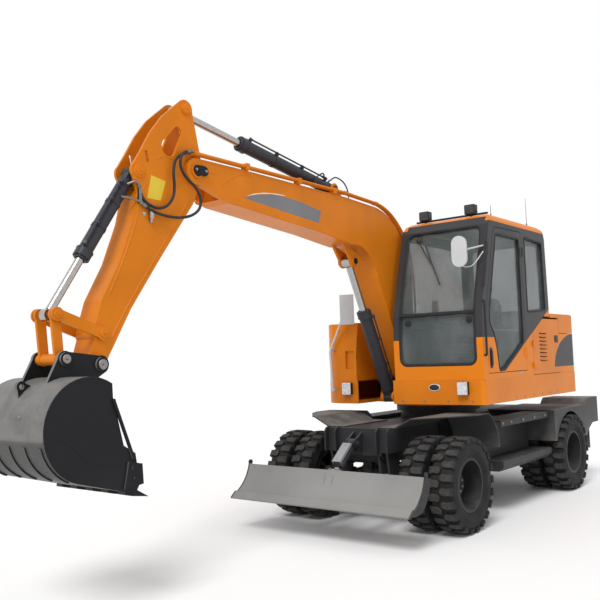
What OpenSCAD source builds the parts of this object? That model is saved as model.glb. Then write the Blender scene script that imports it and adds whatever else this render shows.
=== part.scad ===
// Wheeled excavator on eight twin tyres, with a gooseneck boom and a dozer blade.
// X points to the blade, Y to the cab side and Z up. The ground is at Z = 0.
// All pieces are drawn from the slewing axis, and machine() moves them so that the
// middle of the machine's length is the origin.

/* [Wheels] */
// Overall diameter of a tyre over its lugs
tyre_od = 860; // [780:5:920]
// Width of one tyre
tyre_w = 235; // [200:1:250]
// Diameter of the rim where the tyre sits
rim_d = 460; // [420:1:500]
// Distance between the middles of two twin tyres
twin_pitch = 300; // [280:1:320]
// Distance between the middles of the left and right pairs
track = 1560; // [1540:5:1600]
// Distance between the axles
wheelbase = 2640; // [2600:5:2700]
// Number of lugs in each of the two rows of a tyre
lug_count = 12; // [10:1:18]
// Height of a lug
lug_h = 26; // [16:1:32]
// Radius of the wheel spindle
spindle_r = 46; // [36:1:56]
// Distance of the kingpins from the middle
kingpin_y = 480; // [470:1:490]
// Radius of a kingpin
kingpin_r = 24; // [18:1:30]

/* [Undercarriage] */
// Top of the main frame beam
frame_top = 930; // [900:5:950]
// Height of the main frame beam
frame_h = 330; // [300:5:350]
// Width of the main frame beam
frame_w = 520; // [480:5:560]
// Front end of the frame, from the slewing axis
frame_front = 1600; // [1560:5:1640]
// Rear end of the frame, from the slewing axis
frame_rear = 1800; // [1740:5:1880]
// Width of the middle box of the frame
centre_w = 1320; // [1240:10:1360]
// Height of the front mudguard decks
guard_z = 1030; // [1000:5:1045]
// Thickness of the mudguard plate
guard_t = 10; // [6:1:14]
// Half width over the mudguards
guard_half_w = 955; // [900:5:1000]
// Diameter of the slewing ring
ring_d = 920; // [840:10:980]
// Thickness of the side step
step_t = 105; // [80:1:130]
// Bore radius of the towing eye
tow_r = 22; // [16:1:30]

/* [Blade] */
// Half width of the blade
blade_half_w = 990; // [940:5:1040]
// Radius of the curved face
blade_r = 380; // [340:5:460]
// Thickness of the curved plate
blade_t = 14; // [8:1:20]
// Width of each lifting arm
blade_arm_w = 66; // [50:1:70]
// Distance of the arms from the middle
blade_arm_y = 270; // [262:1:274]
// Radius of the pins of the blade arms
blade_pin_r = 24; // [18:1:30]

/* [Upper body] */
// Height of the seam under the cab and housings
seam_z = 1355; // [1340:5:1370]
// Bottom of the upper body
body_z = 1115; // [1110:5:1130]
// Half width of the body on the cab side
body_left = 1010; // [980:5:1030]
// Half width of the body on the other side
body_right = 990; // [960:5:1010]
// Front face, from the slewing axis
body_front = 920; // [900:5:940]
// Rear face, from the slewing axis
body_rear = 1620; // [1580:5:1680]
// Height of the hood
hood_z = 2025; // [2000:5:2060]
// Radius of the body's upright corners
corner_r = 110; // [60:5:140]

/* [Cab] */
// Right face of the cab
cab_right = 20; // [10:5:40]
// Top of the roof
roof_z = 3005; // [2960:5:3060]
// Thickness of the cab walls and the door
wall_t = 42; // [34:1:50]
// Thickness of the window panes
glass_t = 6; // [4:0.5:8]
// Rear face of the cab, behind the slewing axis
cab_rear = 800; // [780:5:820]
// Rear edge of the door, behind the slewing axis
door_rear = 110; // [90:5:140]

/* [Boom] */
// Width of the boom box
boom_w = 280; // [260:1:300]
// Middle plane of the boom, arm and bucket
boom_y = -190; // [-200:1:-185]
// Radius of the boom's foot pin
foot_pin_r = 35; // [28:1:42]
// Outside radius of the boom cylinder
boom_tube_r = 66; // [56:1:74]
// Radius of the boom cylinder's rod
boom_rod_r = 38; // [30:1:44]

/* [Arm] */
// Width of the arm box
arm_w = 200; // [180:1:206]
// Radius of the pin between boom and arm
arm_pin_r = 30; // [24:1:36]
// Outside radius of the arm cylinder
arm_tube_r = 58; // [48:1:66]
// Radius of the arm cylinder's rod
arm_rod_r = 32; // [26:1:38]

/* [Bucket] */
// Width of the bucket
bucket_w = 780; // [700:5:840]
// Thickness of the bucket plates
bucket_t = 16; // [10:1:22]
// Number of teeth
tooth_count = 5; // [3:1:6]
// Radius of the two bucket pins
bucket_pin_r = 25; // [20:1:30]
// Outside radius of the bucket cylinder
bucket_tube_r = 52; // [44:1:58]
// Radius of the bucket cylinder's rod
bucket_rod_r = 30; // [24:1:34]

/* [Clearances] */
// Play around a pin or shaft
pin_play = 0.08; // [0.04:0.01:0.2]
// Play between faces that slide at a hinge
side_play = 3; // [1:0.5:5]
// Gap at a seat between two pieces
seat_gap = 0.3; // [0.2:0.1:0.6]
// Gap around a door or lid
door_gap = 6; // [5:0.5:9]

/* [Hidden] */
$fn = 48;

// Colours of the real machine
orange = [0.93, 0.62, 0.18];
dark = [0.22, 0.23, 0.24];
black = [0.08, 0.08, 0.09];
steel = [0.75, 0.76, 0.78];
glass = [0.45, 0.55, 0.55, 0.5];

// The slewing axis behind the middle of the machine's length
slew_x = -1401;
axle_x = wheelbase / 2;
axle_z = tyre_od / 2;
twin_y = track / 2;

// Pivots in the side view, each as [x, z]
BLADE_PIVOT = [1500, 450];
BLADE_CYL_BASE = [1690, 800];
BLADE_CYL_EYE = [1990, 560];
BLADE_TOP = [2070, 600];
BLADE_BOTTOM = [2320, 330];
BOOM_FOOT = [450, 1470];
BOOM_CYL_BASE = [690, 1180];
BOOM_CYL_EYE = [1380, 2570];
ARM_CYL_BASE = [1650, 3270];
ARM_PIVOT = [3590, 3100];
ARM_TAIL = [3660, 3590];
BUCKET_CYL_BASE = [4130, 3020];
ROCKER_PIN = [4480, 1830];
LINK_TOP = [4840, 1955];
LINK_LOW = [4812, 1662];
BUCKET_PIVOT = [4530, 1620];

module machine() translate([slew_x, 0, 0]) children();

// A flat shape drawn in X and Z, given its width along Y from y0 to y1
module across(y0, y1)
  translate([0, y1, 0]) rotate([90, 0, 0]) linear_extrude(height = y1 - y0) children();

// A flat shape drawn in Y and Z, given its length along X from x0 to x1
module along(x0, x1)
  translate([x0, 0, 0]) rotate([90, 0, 90]) linear_extrude(height = x1 - x0) children();

// A round bar along Y at a side view point
module bar_y(p, r, y0, y1)
  translate([p[0], y1, p[1]]) rotate([90, 0, 0]) cylinder(r = r, h = y1 - y0);

// A round bar along X
module bar_x(x0, x1, y, z, r)
  translate([x0, y, z]) rotate([0, 90, 0]) cylinder(r = r, h = x1 - x0);

// A rectangle with round corners, from its low corner to its high corner
module round_box(lo, hi, r) {
  translate([lo[0] + r, lo[1]]) square([hi[0] - lo[0] - 2 * r, hi[1] - lo[1]]);
  translate([lo[0], lo[1] + r]) square([hi[0] - lo[0], hi[1] - lo[1] - 2 * r]);
  for (x = [lo[0] + r, hi[0] - r])
    for (y = [lo[1] + r, hi[1] - r])
      translate([x, y]) circle(r = r);
}

module mirrored_y() {
  children();
  mirror([0, 1, 0]) children();
}

function angle_of(a, b) = atan2(b[1] - a[1], b[0] - a[0]);
function length_of(a, b) = norm(b - a);

// Places a piece drawn along +X at point a, turned in the side view to point b
module aimed(a, b, y)
  translate([a[0], y, a[1]]) rotate([0, -angle_of(a, b), 0]) children();

// Wheels and tyres

// Places a twin wheel with its outward side along +Z
module at_wheel(end, side)
  translate([end * axle_x, side * twin_y, axle_z]) rotate([-90 * side, 0, 0]) children();

rim_r = rim_d / 2;
rim_t = 12;
flange_h = 16;
flange_t = 8;
rim_half = tyre_w / 2 - 26;
bead_half = rim_half - flange_t - seat_gap;
hub_r = 135;
hub_in = 110;
hub_out = 118;

// Twin rims with their bolted discs and the hub, as one turned piece
module wheel() {
  lip = [for (m = [-1, 1]) m * twin_pitch / 2];
  out = twin_pitch / 2 + rim_half;
  gap = twin_pitch / 2 - rim_half;
  rotate_extrude() polygon([
    [spindle_r + pin_play, -hub_in], [hub_r - 15, -hub_in], [hub_r, -hub_in + 30], [hub_r, -14],
    [rim_r - rim_t, -14], [rim_r - rim_t, -out], [rim_r + flange_h, -out],
    [rim_r + flange_h, -out + flange_t], [rim_r, -out + flange_t], [rim_r, -gap - flange_t],
    [rim_r + flange_h, -gap - flange_t], [rim_r + flange_h, -gap], [rim_r, -gap],
    [rim_r, gap], [rim_r + flange_h, gap], [rim_r + flange_h, gap + flange_t],
    [rim_r, gap + flange_t], [rim_r, out - flange_t], [rim_r + flange_h, out - flange_t],
    [rim_r + flange_h, out], [rim_r - rim_t, out], [rim_r - rim_t, 14], [hub_r + 15, 14],
    [hub_r + 15, 40], [hub_r - 10, 58], [hub_r - 10, hub_out - 18], [hub_r - 30, hub_out],
    [0, hub_out], [0, spindle_out + 4], [spindle_r + pin_play, spindle_out + 4]]);
}

// The spindle ends this far outside the middle of the twins
spindle_out = 20;

function turned(r, a) = r * [cos(a), sin(a)];

// Side walls of a tyre, many-sided, on flats that clear the rim
tyre_sides = 24;
module tyre_body() {
  inner = (rim_r + seat_gap) / cos(180 / tyre_sides);
  flange_top = (rim_r + flange_h) / cos(180 / tyre_sides);
  outer = tyre_od / 2 - lug_h - 4;
  side = tyre_w / 2 - 6;
  // The wall leans outwards and just clears the top of the rim's flange
  lean = (flange_top - inner) / (outer - inner);
  foot = (bead_half - lean * side) / (1 - lean);
  // Section of a tyre, each as [radius, distance from its middle]
  section = [[inner, -foot], [outer, -side], [outer, side], [inner, foot]];
  rings = len(section);
  polyhedron(
    points = [for (s = section) for (i = [0 : tyre_sides - 1])
      [each turned(s[0], i * 360 / tyre_sides), s[1]]],
    faces = [for (k = [0 : rings - 1]) for (i = [0 : tyre_sides - 1])
      let (j = (i + 1) % tyre_sides, m = (k + 1) % rings)
      [k * tyre_sides + i, m * tyre_sides + i, m * tyre_sides + j, k * tyre_sides + j]]);
}

// One row of lugs: a toothed outline over half the tyre's width
module lug_row(turn) {
  pitch = 360 / lug_count;
  top = tyre_od / 2;
  base_r = top - lug_h;
  linear_extrude(height = tyre_w / 2) polygon([for (i = [0 : lug_count - 1]) each [
    turned(base_r, turn + pitch * (i - 0.34)), turned(top, turn + pitch * (i - 0.27)),
    turned(top, turn + pitch * (i + 0.27)), turned(base_r, turn + pitch * (i + 0.34))]]);
}

// Two twin tyres. A lug's corner points at the ground.
module tyre_pair(side) {
  pitch = 360 / lug_count;
  for (z = [-twin_pitch / 2, twin_pitch / 2])
    translate([0, 0, z]) {
      tyre_body();
      difference() {
        union() {
          lug_row(side * 90 + 0.27 * pitch);
          mirror([0, 0, 1]) lug_row(side * 90 - 0.23 * pitch);
        }
        cylinder(r = tyre_od / 2 - lug_h - 18, h = tyre_w + 2, center = true, $fn = tyre_sides);
      }
    }
}

module wheels_front_left() color(black) machine() at_wheel(1, 1) wheel();
module wheels_front_right() color(black) machine() at_wheel(1, -1) wheel();
module wheels_rear_left() color(black) machine() at_wheel(-1, 1) wheel();
module wheels_rear_right() color(black) machine() at_wheel(-1, -1) wheel();
module tyres_front_left() color(dark) machine() at_wheel(1, 1) tyre_pair(1);
module tyres_front_right() color(dark) machine() at_wheel(1, -1) tyre_pair(-1);
module tyres_rear_left() color(dark) machine() at_wheel(-1, 1) tyre_pair(1);
module tyres_rear_right() color(dark) machine() at_wheel(-1, -1) tyre_pair(-1);

// Axles, knuckles and steering

frame_bottom = frame_top - frame_h;
yoke_in = 105;
yoke_t = 45;
yoke_r = 52;
diff_r = 124;
tube_r = 75;
trunnion_r = 30;
trunnion_z = frame_bottom - 62;
cheek_x = 112;
cheek_t = 26;
cheek_r = 46;
steer_arm = [-190, -30];
steer_arm_t = 28;
shaft_z = 450;
shaft_r = 35;
nose_r = 36;
ram_r = 34;
steer_rod_r = 18;
eye_t = 36;
steer_arm_z = axle_z + yoke_in - side_play;
rod_z = steer_arm_z + seat_gap + eye_t / 2;

// Axle housing along Y, turned about its own axis, out to half width w
module housing(w) {
  rotate([90, 0, 0]) rotate_extrude() polygon([
    [0, -w], [tube_r, -w], [tube_r, -240], [diff_r - 20, -130], [diff_r, -100],
    [diff_r, 100], [diff_r - 20, 130], [tube_r, 240], [tube_r, w], [0, w]]);
}

module front_axle() color(black) machine() {
  translate([axle_x, 0, axle_z]) housing(kingpin_y - 90);
  difference() {
    union() {
      translate([axle_x - 90, -70, axle_z]) cube([180, 140, frame_bottom - axle_z - 6]);
      bar_x(axle_x - cheek_x + 1, axle_x + cheek_x - 1, 0, trunnion_z, trunnion_r + 22);
    }
    translate([axle_x, 0, axle_z]) rotate([90, 0, 0]) cylinder(r = tube_r, h = 200, center = true);
  }
  bar_x(axle_x - cheek_x - cheek_t - 8, axle_x + cheek_x + cheek_t + 8, 0, trunnion_z, trunnion_r);
  bar_x(axle_x - diff_r - 60, axle_x - 60, 0, shaft_z, nose_r);
  mirrored_y() difference() {
    union() {
      translate([axle_x - 60, kingpin_y - 110, axle_z - yoke_in - yoke_t])
        cube([120, 30, 2 * (yoke_in + yoke_t)]);
      for (z = [axle_z - yoke_in - yoke_t, axle_z + yoke_in]) {
        translate([axle_x - yoke_r, kingpin_y - 110, z]) cube([2 * yoke_r, 110, yoke_t]);
        translate([axle_x, kingpin_y, z]) cylinder(r = yoke_r, h = yoke_t);
      }
    }
    translate([axle_x, kingpin_y, 0]) cylinder(r = kingpin_r + pin_play, h = 2 * axle_z);
  }
  // Barrel of the steering cylinder, held by two brackets behind the axle
  difference() {
    union() {
      bar_y([axle_x + steer_arm[0], rod_z], ram_r, -150, 150);
      mirrored_y() across(112, 134) strap([axle_x + steer_arm[0], rod_z], [axle_x - 20, axle_z + 40], 22, 40);
    }
    bar_y([axle_x + steer_arm[0], rod_z], steer_rod_r + pin_play, -160, 160);
  }
}

module steering_rod() color(steel) machine() {
  tip_y = kingpin_y + steer_arm[1];
  bar_y([axle_x + steer_arm[0], rod_z], steer_rod_r, -tip_y + 10, tip_y - 10);
  mirrored_y() translate([axle_x + steer_arm[0], tip_y, rod_z - eye_t / 2])
    cylinder(r = 27, h = eye_t);
}

// Knuckle with its kingpin, steering arm and wheel spindle
module knuckle() {
  pin_end = yoke_in + yoke_t + 6;
  barrel_end = yoke_in - side_play;
  cone_end = twin_y - hub_in - kingpin_y - 4;
  translate([axle_x, kingpin_y, 0]) {
    translate([0, 0, axle_z]) rotate_extrude() polygon([
      [0, -pin_end], [kingpin_r, -pin_end], [kingpin_r, -barrel_end], [yoke_r, -barrel_end],
      [yoke_r, barrel_end], [kingpin_r, barrel_end], [kingpin_r, pin_end], [0, pin_end]]);
    translate([0, 0, steer_arm_z - steer_arm_t]) linear_extrude(height = steer_arm_t) {
      translate(steer_arm) circle(r = 30);
      polygon([[-10, -42], steer_arm + [0, -30], steer_arm + [0, 30], [-10, 42]]);
    }
    translate([0, 0, axle_z]) rotate([-90, 0, 0]) rotate_extrude() polygon([
      [0, 10], [70, 10], [84, 40], [76, cone_end], [spindle_r, cone_end],
      [spindle_r, twin_y + spindle_out - kingpin_y], [0, twin_y + spindle_out - kingpin_y]]);
  }
}

module knuckle_left() color(black) machine() knuckle();
module knuckle_right() color(black) machine() mirror([0, 1, 0]) knuckle();

module rear_axle() color(black) machine() {
  end = twin_y - hub_in - 4;
  translate([-axle_x, 0, axle_z]) housing(end);
  mirrored_y() {
    bar_y([-axle_x, axle_z], 95, end - 60, end);
    bar_y([-axle_x, axle_z], spindle_r, end - 10, twin_y + spindle_out);
    translate([-axle_x - 60, 165, axle_z]) cube([120, 60, frame_bottom - axle_z]);
  }
  // Gearbox on the axle's nose, and the propeller shaft to the front axle
  bar_x(-axle_x + 90, frame_mid_rear - 8, 0, shaft_z + 10, 118);
  translate([-axle_x + 170, -90, shaft_z]) cube([260, 180, frame_bottom - shaft_z - 2]);
  bar_x(frame_mid_rear - 20, axle_x - diff_r - 60 - seat_gap, 0, shaft_z, shaft_r);
  for (x = [frame_mid_rear - 10, axle_x - diff_r - 130]) bar_x(x, x + 60, 0, shaft_z, shaft_r + 8);
}

// Frame

frame_mid_rear = -790;
frame_mid_front = 500;
centre_half = centre_w / 2;
clevis_t = 24;
nose_half = 362;
ring_gap = 0.5;
ring_z = 1060;
lug_r = 60;
cyl_eye_w = 64;

// Ear in the side view: a round end at p that widens to a foot between two points
module ear(p, r, foot0, foot1) {
  translate(p) circle(r = r);
  a = angle_of(p, (foot0 + foot1) / 2);
  side = [-sin(a), cos(a)] * r * 0.98;
  first_left = cross([cos(a), sin(a)], foot0 - p) > 0;
  polygon([p + side, first_left ? foot0 : foot1, first_left ? foot1 : foot0, p - side]);
}

module chassis_frame() color(dark) machine() {
  arm_in = blade_arm_y - blade_arm_w / 2 - side_play;
  arm_out = blade_arm_y + blade_arm_w / 2 + side_play;
  difference() {
    union() {
      across(-frame_w / 2, frame_w / 2) polygon([
        [-frame_rear, frame_top], [-frame_rear, frame_bottom + 100],
        [-frame_rear + 260, frame_bottom], [frame_front - 120, frame_bottom],
        [frame_front, frame_bottom + 80], [frame_front, frame_top]]);
      translate([frame_mid_rear, -centre_half, frame_bottom - 100])
        cube([frame_mid_front - frame_mid_rear, centre_w, frame_top - frame_bottom + 60]);
      translate([frame_front - 150, -nose_half, frame_bottom + 110])
        cube([150, 2 * nose_half, frame_h - 110]);
      translate([-frame_rear, -nose_half, frame_bottom + 100])
        cube([80, 2 * nose_half, frame_h - 100]);
      // Cheeks that carry the front axle's trunnion
      for (x = [axle_x - cheek_x - cheek_t, axle_x + cheek_x])
        along(x, x + cheek_t) {
          translate([0, trunnion_z]) circle(r = cheek_r);
          translate([-cheek_r, trunnion_z]) square([2 * cheek_r, frame_bottom - trunnion_z + 20]);
        }
      // Ears of the blade's arms
      mirrored_y() for (y = [arm_in - clevis_t, arm_out])
        across(y, y + clevis_t)
          ear(BLADE_PIVOT, lug_r, [frame_front - 210, frame_bottom + 120], [frame_front, frame_bottom + 120]);
      // Upright ribs on the front face
      mirrored_y() for (y = [225, nose_half - 18])
        across(y, y + 18) {
          translate([frame_front - 10, frame_bottom + 110]) square([62, frame_h - 160]);
          translate([frame_front - 10, frame_top - 52]) circle(r = 62);
        }
      // Ears of the blade cylinder
      mirrored_y() across(cyl_eye_w / 2 + side_play, cyl_eye_w / 2 + side_play + 20)
        ear(BLADE_CYL_BASE, 46, [frame_front - 20, frame_top - 20], [frame_front - 20, frame_top - 230]);
      // Pedestal and the fixed race of the slewing ring
      translate([0, 0, frame_top - 10]) cylinder(r = ring_d / 2 - 45, h = ring_z - frame_top + 10);
      translate([0, 0, ring_z - 52]) cylinder(r = ring_d / 2, h = 52);
      // Towing eye
      translate([-frame_rear - 70, 0, frame_bottom + 150]) cylinder(r = 58, h = 50);
      translate([-frame_rear - 70, -58, frame_bottom + 150]) cube([90, 116, 50]);
    }
    mirrored_y() bar_y(BLADE_PIVOT, blade_pin_r + pin_play, 0, nose_half);
    bar_y(BLADE_CYL_BASE, blade_pin_r + pin_play, -100, 100);
    bar_x(axle_x - 300, axle_x + 300, 0, trunnion_z, trunnion_r + pin_play);
    translate([-frame_rear - 70, 0, 0]) cylinder(r = tow_r, h = frame_top);
    translate([0, 0, ring_z - 120]) cylinder(r = ring_d / 2 - 170, h = 200);
  }
}

// Mudguards

guard_in = frame_w / 2 - 60;
guard_low_z = frame_top + seat_gap;
guard_rear_z = frame_top + seat_gap + guard_t;
guard_front = 1550;
arch_r = 465;
tail_x = 2330;

// Front mudguard: deck, sloped inner part and a curved rear panel
module front_guard() {
  intersection() {
    along(540, guard_front) polygon([
      [guard_in, guard_low_z], [385, guard_low_z], [560, guard_z - guard_t],
      [guard_half_w, guard_z - guard_t], [guard_half_w, guard_z], [555, guard_z],
      [380, guard_low_z + guard_t], [guard_in, guard_low_z + guard_t]]);
    linear_extrude(height = 2 * guard_z) polygon([
      [750, 0], [750, guard_half_w], [1000, guard_half_w], [1200, 855], [guard_front, 580], [guard_front, 0]]);
  }
  // Curved panel behind the wheel
  across(centre_half - 200, guard_half_w) intersection() {
    difference() {
      translate([930, 680]) circle(r = 400);
      translate([930, 680]) circle(r = 400 - guard_t);
    }
    translate([500, 680]) square([256, guard_z - 680]);
  }
}

// Rear mudguard: deck, panel before the wheel, arched skirt and a raised tail box
module rear_guard() {
  deck_front = frame_mid_rear - 40;
  translate([-1860, guard_in, guard_rear_z - guard_t])
    cube([1860 + deck_front, 1000 - guard_in, guard_t]);
  difference() {
    union() {
      translate([deck_front - guard_t, centre_half, 600]) cube([guard_t, 1000 - centre_half, guard_rear_z - 600]);
      across(1000 - guard_t, 1000) polygon([
        [deck_front, 600], [deck_front, guard_rear_z], [-1860, guard_rear_z], [-1960, 1000],
        [-1960, 640], [-1860, 560]]);
    }
    bar_y([-axle_x, axle_z], arch_r, 400, 1100);
  }
  // Raised box at the tail
  across(430, 1000 - guard_t) polygon([
    [-1850, guard_rear_z - guard_t], [-1950, 1012], [-tail_x, 1012], [-tail_x, 700], [-2120, 700],
    [-1990, 640], [-1850, 700]]);
  // Flap behind the tyre
  across(560, 985) translate([-1995, 400]) square([12, 260]);
}

module mudguards() color(dark) machine() mirrored_y() {
  front_guard();
  rear_guard();
}

// Side steps: wall, upper ledge with a turned-down lip, and the step

module side_step() {
  wall_in = centre_half + seat_gap;
  x0 = frame_mid_rear + 10;
  x1 = frame_mid_front - 10;
  ledge = guard_half_w;
  difference() {
    translate([x0, wall_in, 430]) cube([x1 - x0, 40, frame_top - 430]);
    translate([x1 - 130, 0, 800]) rotate([-90, 0, 0]) cylinder(r = 32, h = 2 * centre_half);
  }
  translate([x0, wall_in, frame_top - 12]) cube([x1 - x0, ledge - wall_in, 12]);
  translate([x0, ledge - 12, frame_top - 62]) cube([x1 - x0, 12, 62]);
  along(x0, x1) polygon([
    [wall_in, 430], [ledge - 40, 430], [ledge + 10, 470], [ledge + 10, 430 + step_t],
    [wall_in, 430 + step_t]]);
}

module side_steps() color(dark) machine() mirrored_y() side_step();

// Blade

// Middle of the blade's arc
BLADE_MID = (BLADE_TOP + BLADE_BOTTOM) / 2;
blade_chord = length_of(BLADE_TOP, BLADE_BOTTOM);
blade_dir = (BLADE_BOTTOM - BLADE_TOP) / blade_chord;
BLADE_CENTRE = BLADE_MID
  + [-blade_dir[1], blade_dir[0]] * sqrt(blade_r * blade_r - blade_chord * blade_chord / 4);

module blade_section(extra) intersection() {
  difference() {
    translate(BLADE_CENTRE) circle(r = blade_r + extra, $fn = 96);
    translate(BLADE_CENTRE) circle(r = blade_r, $fn = 96);
  }
  polygon([BLADE_CENTRE, BLADE_CENTRE + 1.6 * (BLADE_TOP - BLADE_CENTRE),
    BLADE_CENTRE + 2 * (BLADE_MID - BLADE_CENTRE), BLADE_CENTRE + 1.6 * (BLADE_BOTTOM - BLADE_CENTRE)]);
}

module blade() color(steel) machine() {
  arm0 = blade_arm_y - blade_arm_w / 2;
  arm1 = blade_arm_y + blade_arm_w / 2;
  back = BLADE_CENTRE + (blade_r + blade_t / 2) * (BLADE_MID - BLADE_CENTRE) / norm(BLADE_MID - BLADE_CENTRE);
  across(-blade_half_w, blade_half_w) blade_section(blade_t);
  // Deep plates at both ends
  mirrored_y() across(blade_half_w - 14, blade_half_w) {
    blade_section(95);
    translate(BLADE_TOP + [-22, 14]) circle(r = 24);
  }
  // Ribs on the back
  mirrored_y() for (y = [arm0, 560, 760]) across(y, y + 12) blade_section(80);
  // Cutting edge
  translate([0, -blade_half_w, 0]) across(0, 2 * blade_half_w)
    translate(BLADE_BOTTOM) rotate(angle_of(BLADE_TOP, BLADE_BOTTOM) + 8)
      translate([-60, -16]) square([84, 16]);
  // Back beam
  across(-560, 560) translate(back + [-64, -40]) square([74, 80]);
  // Arms
  mirrored_y() across(arm0, arm1) ear(BLADE_PIVOT, 54, back + [0, 58], back + [0, -52]);
  mirrored_y() bar_y(BLADE_PIVOT, blade_pin_r, arm0 - clevis_t - 10, arm1 + clevis_t + 8);
  // Ears for the cylinder's rod
  mirrored_y() across(cyl_eye_w / 2 + side_play, cyl_eye_w / 2 + side_play + 18)
    ear(BLADE_CYL_EYE, 42, BLADE_TOP + [14, -20], back + [0, 20]);
  eye_out = cyl_eye_w / 2 + side_play + 18;
  mirrored_y() bar_y(BLADE_CYL_EYE, blade_pin_r + 8, eye_out, eye_out + 16);
}

// A cylinder's barrel along +X with its eye and pin at the start and a bore for the rod.
// Its round part starts this far beyond the eye, clear of the ears that hold it.
barrel_neck = 34;
module barrel(tube_r, rod_r, len, eye_r, pin_r, eye_w, pin_w) {
  difference() {
    union() {
      rotate([90, 0, 0]) cylinder(r = eye_r, h = eye_w, center = true);
      translate([0, -eye_w / 2, -tube_r * 0.7]) cube([eye_r + barrel_neck + 4, eye_w, tube_r * 1.4]);
      translate([eye_r + barrel_neck, 0, 0]) rotate([0, 90, 0])
        cylinder(r = tube_r, h = len - eye_r - barrel_neck);
      translate([len - 60, 0, 0]) rotate([0, 90, 0]) cylinder(r = tube_r + 9, h = 60);
    }
    translate([eye_r + barrel_neck + 6, 0, 0]) rotate([0, 90, 0]) cylinder(r = rod_r + pin_play, h = len);
  }
  rotate([90, 0, 0]) cylinder(r = pin_r, h = pin_w, center = true);
}

// A cylinder's rod, with its eye at distance reach and its inner end at start
module rod(rod_r, start, reach, eye_r, pin_r, eye_w) {
  translate([start, 0, 0]) rotate([0, 90, 0]) cylinder(r = rod_r, h = reach - start - eye_r + 8);
  difference() {
    translate([reach, 0, 0]) rotate([90, 0, 0]) cylinder(r = eye_r, h = eye_w, center = true);
    translate([reach, 0, 0]) rotate([90, 0, 0]) cylinder(r = pin_r, h = eye_w + 2, center = true);
  }
}

// Cylinders: each barrel is as long as the closed cylinder allows, and each rod
// starts where it keeps clear of the bore's end when the cylinder is closed
blade_cyl = length_of(BLADE_CYL_BASE, BLADE_CYL_EYE);
blade_tube = 312;
blade_rod_in = 112;
blade_rod_r = 24;
boom_cyl = length_of(BOOM_CYL_BASE, BOOM_CYL_EYE);
boom_tube = 1020;
boom_rod_in = 500;
arm_cyl = length_of(ARM_CYL_BASE, ARM_TAIL);
arm_tube = 1310;
arm_rod_in = 390;
bucket_cyl = length_of(BUCKET_CYL_BASE, LINK_TOP);
bucket_tube = 800;
bucket_rod_in = 430;
cyl_pin_side = side_play + 34;

module blade_cylinder_tube() color(black) machine() aimed(BLADE_CYL_BASE, BLADE_CYL_EYE, 0)
  barrel(44, blade_rod_r, blade_tube, 42, blade_pin_r, cyl_eye_w, cyl_eye_w + 2 * cyl_pin_side);

module blade_cylinder_rod() color(steel) machine() aimed(BLADE_CYL_BASE, BLADE_CYL_EYE, 0)
  rod(blade_rod_r, blade_rod_in, blade_cyl, 38, blade_pin_r, cyl_eye_w - 10);

// Upper body

body_top = hood_z - 50;
seam_top = seam_z + seat_gap;
plate_h = 30;
bed_h = 130;
tail_h = 445;
EXHAUST = [-600, -310];
// Rear wall of the cab, from its low edge to its high edge
REAR_LOW = [-cab_rear - 16, body_top + 16];
REAR_HIGH = [-cab_rear + 14, 2860];
function cab_rear_x(z) = REAR_LOW[0]
  + (REAR_HIGH[0] - REAR_LOW[0]) * (z - REAR_LOW[1]) / (REAR_HIGH[1] - REAR_LOW[1]);
well_left = -2;
well_right = -445;
well_rear = 60;
hood_front = -840;
tail_block = -1080;
plate_t = 26;
foot_in = boom_w / 2 + side_play;
cyl_in = 48 + side_play;

bow = 370;

// Front of the body's plan at y, on its big round corner, drawn in by inset
function body_plan_x(y, inset) =
  body_front - inset - bow + sqrt(bow * bow - pow(y + body_right - inset - bow, 2));

// Plan of the upper body, drawn in by a given inset
module body_plan(inset) {
  r = corner_r - inset / 2;
  x0 = -body_rear + inset;
  x1 = body_front - inset;
  y0 = -body_right + inset;
  y1 = body_left - inset;
  translate([x0 + r, y0]) square([x1 - bow - x0 - r, y1 - y0]);
  translate([x0, y0 + r]) square([x1 - bow - x0, y1 - y0 - 2 * r]);
  translate([x1 - bow - 1, y0 + bow]) square([bow + 1, y1 - y0 - bow - 50]);
  translate([x1 - bow - 1, y1 - 51]) square([bow - 49, 51]);
  translate([x1 - 50, y1 - 50]) circle(r = 50);
  for (y = [y0 + r, y1 - r]) translate([x0 + r, y]) circle(r = r);
  translate([x1 - bow, y0 + bow]) circle(r = bow, $fn = 96);
}

module swing_frame() color(orange) machine() {
  difference() {
    union() {
      translate([0, 0, body_z]) linear_extrude(height = plate_h) body_plan(6);
      translate([0, 0, body_z]) linear_extrude(height = seam_z - body_z) difference() {
        body_plan(0);
        body_plan(14);
      }
      translate([0, 0, ring_z + ring_gap]) cylinder(r = ring_d / 2 - 25, h = body_z - ring_z);
    }
    // Open well in front of the boom's foot
    translate([560, well_right, body_z - 20]) cube([body_front, well_left - well_right, seam_z]);
    translate([0, 0, ring_z - 10]) cylinder(r = ring_d / 2 - 170, h = body_z - ring_z + 5);
  }
  difference() {
    union() {
      // Main plates that carry the boom's foot
      for (y = [boom_y - foot_in - plate_t, boom_y + foot_in])
        across(y, y + plate_t) {
          ear(BOOM_FOOT, 92, [-260, body_z + 20], [640, body_z + 20]);
          translate([-900, body_z + 10]) square([1440, bed_h - 10]);
        }
      // Nose with the ears of the boom cylinder
      for (y = [boom_y - cyl_in - 22, boom_y + cyl_in])
        across(y, y + 22)
          ear(BOOM_CYL_BASE, 60, [380, seam_z - 40], [500, body_z + 2]);
      translate([440, boom_y - foot_in, body_z + 5]) cube([100, 2 * foot_in, 130]);
    }
    bar_y(BOOM_FOOT, foot_pin_r + pin_play, -500, 100);
    bar_y(BOOM_CYL_BASE, foot_pin_r - 5 + pin_play, -500, 100);
  }
}

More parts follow.
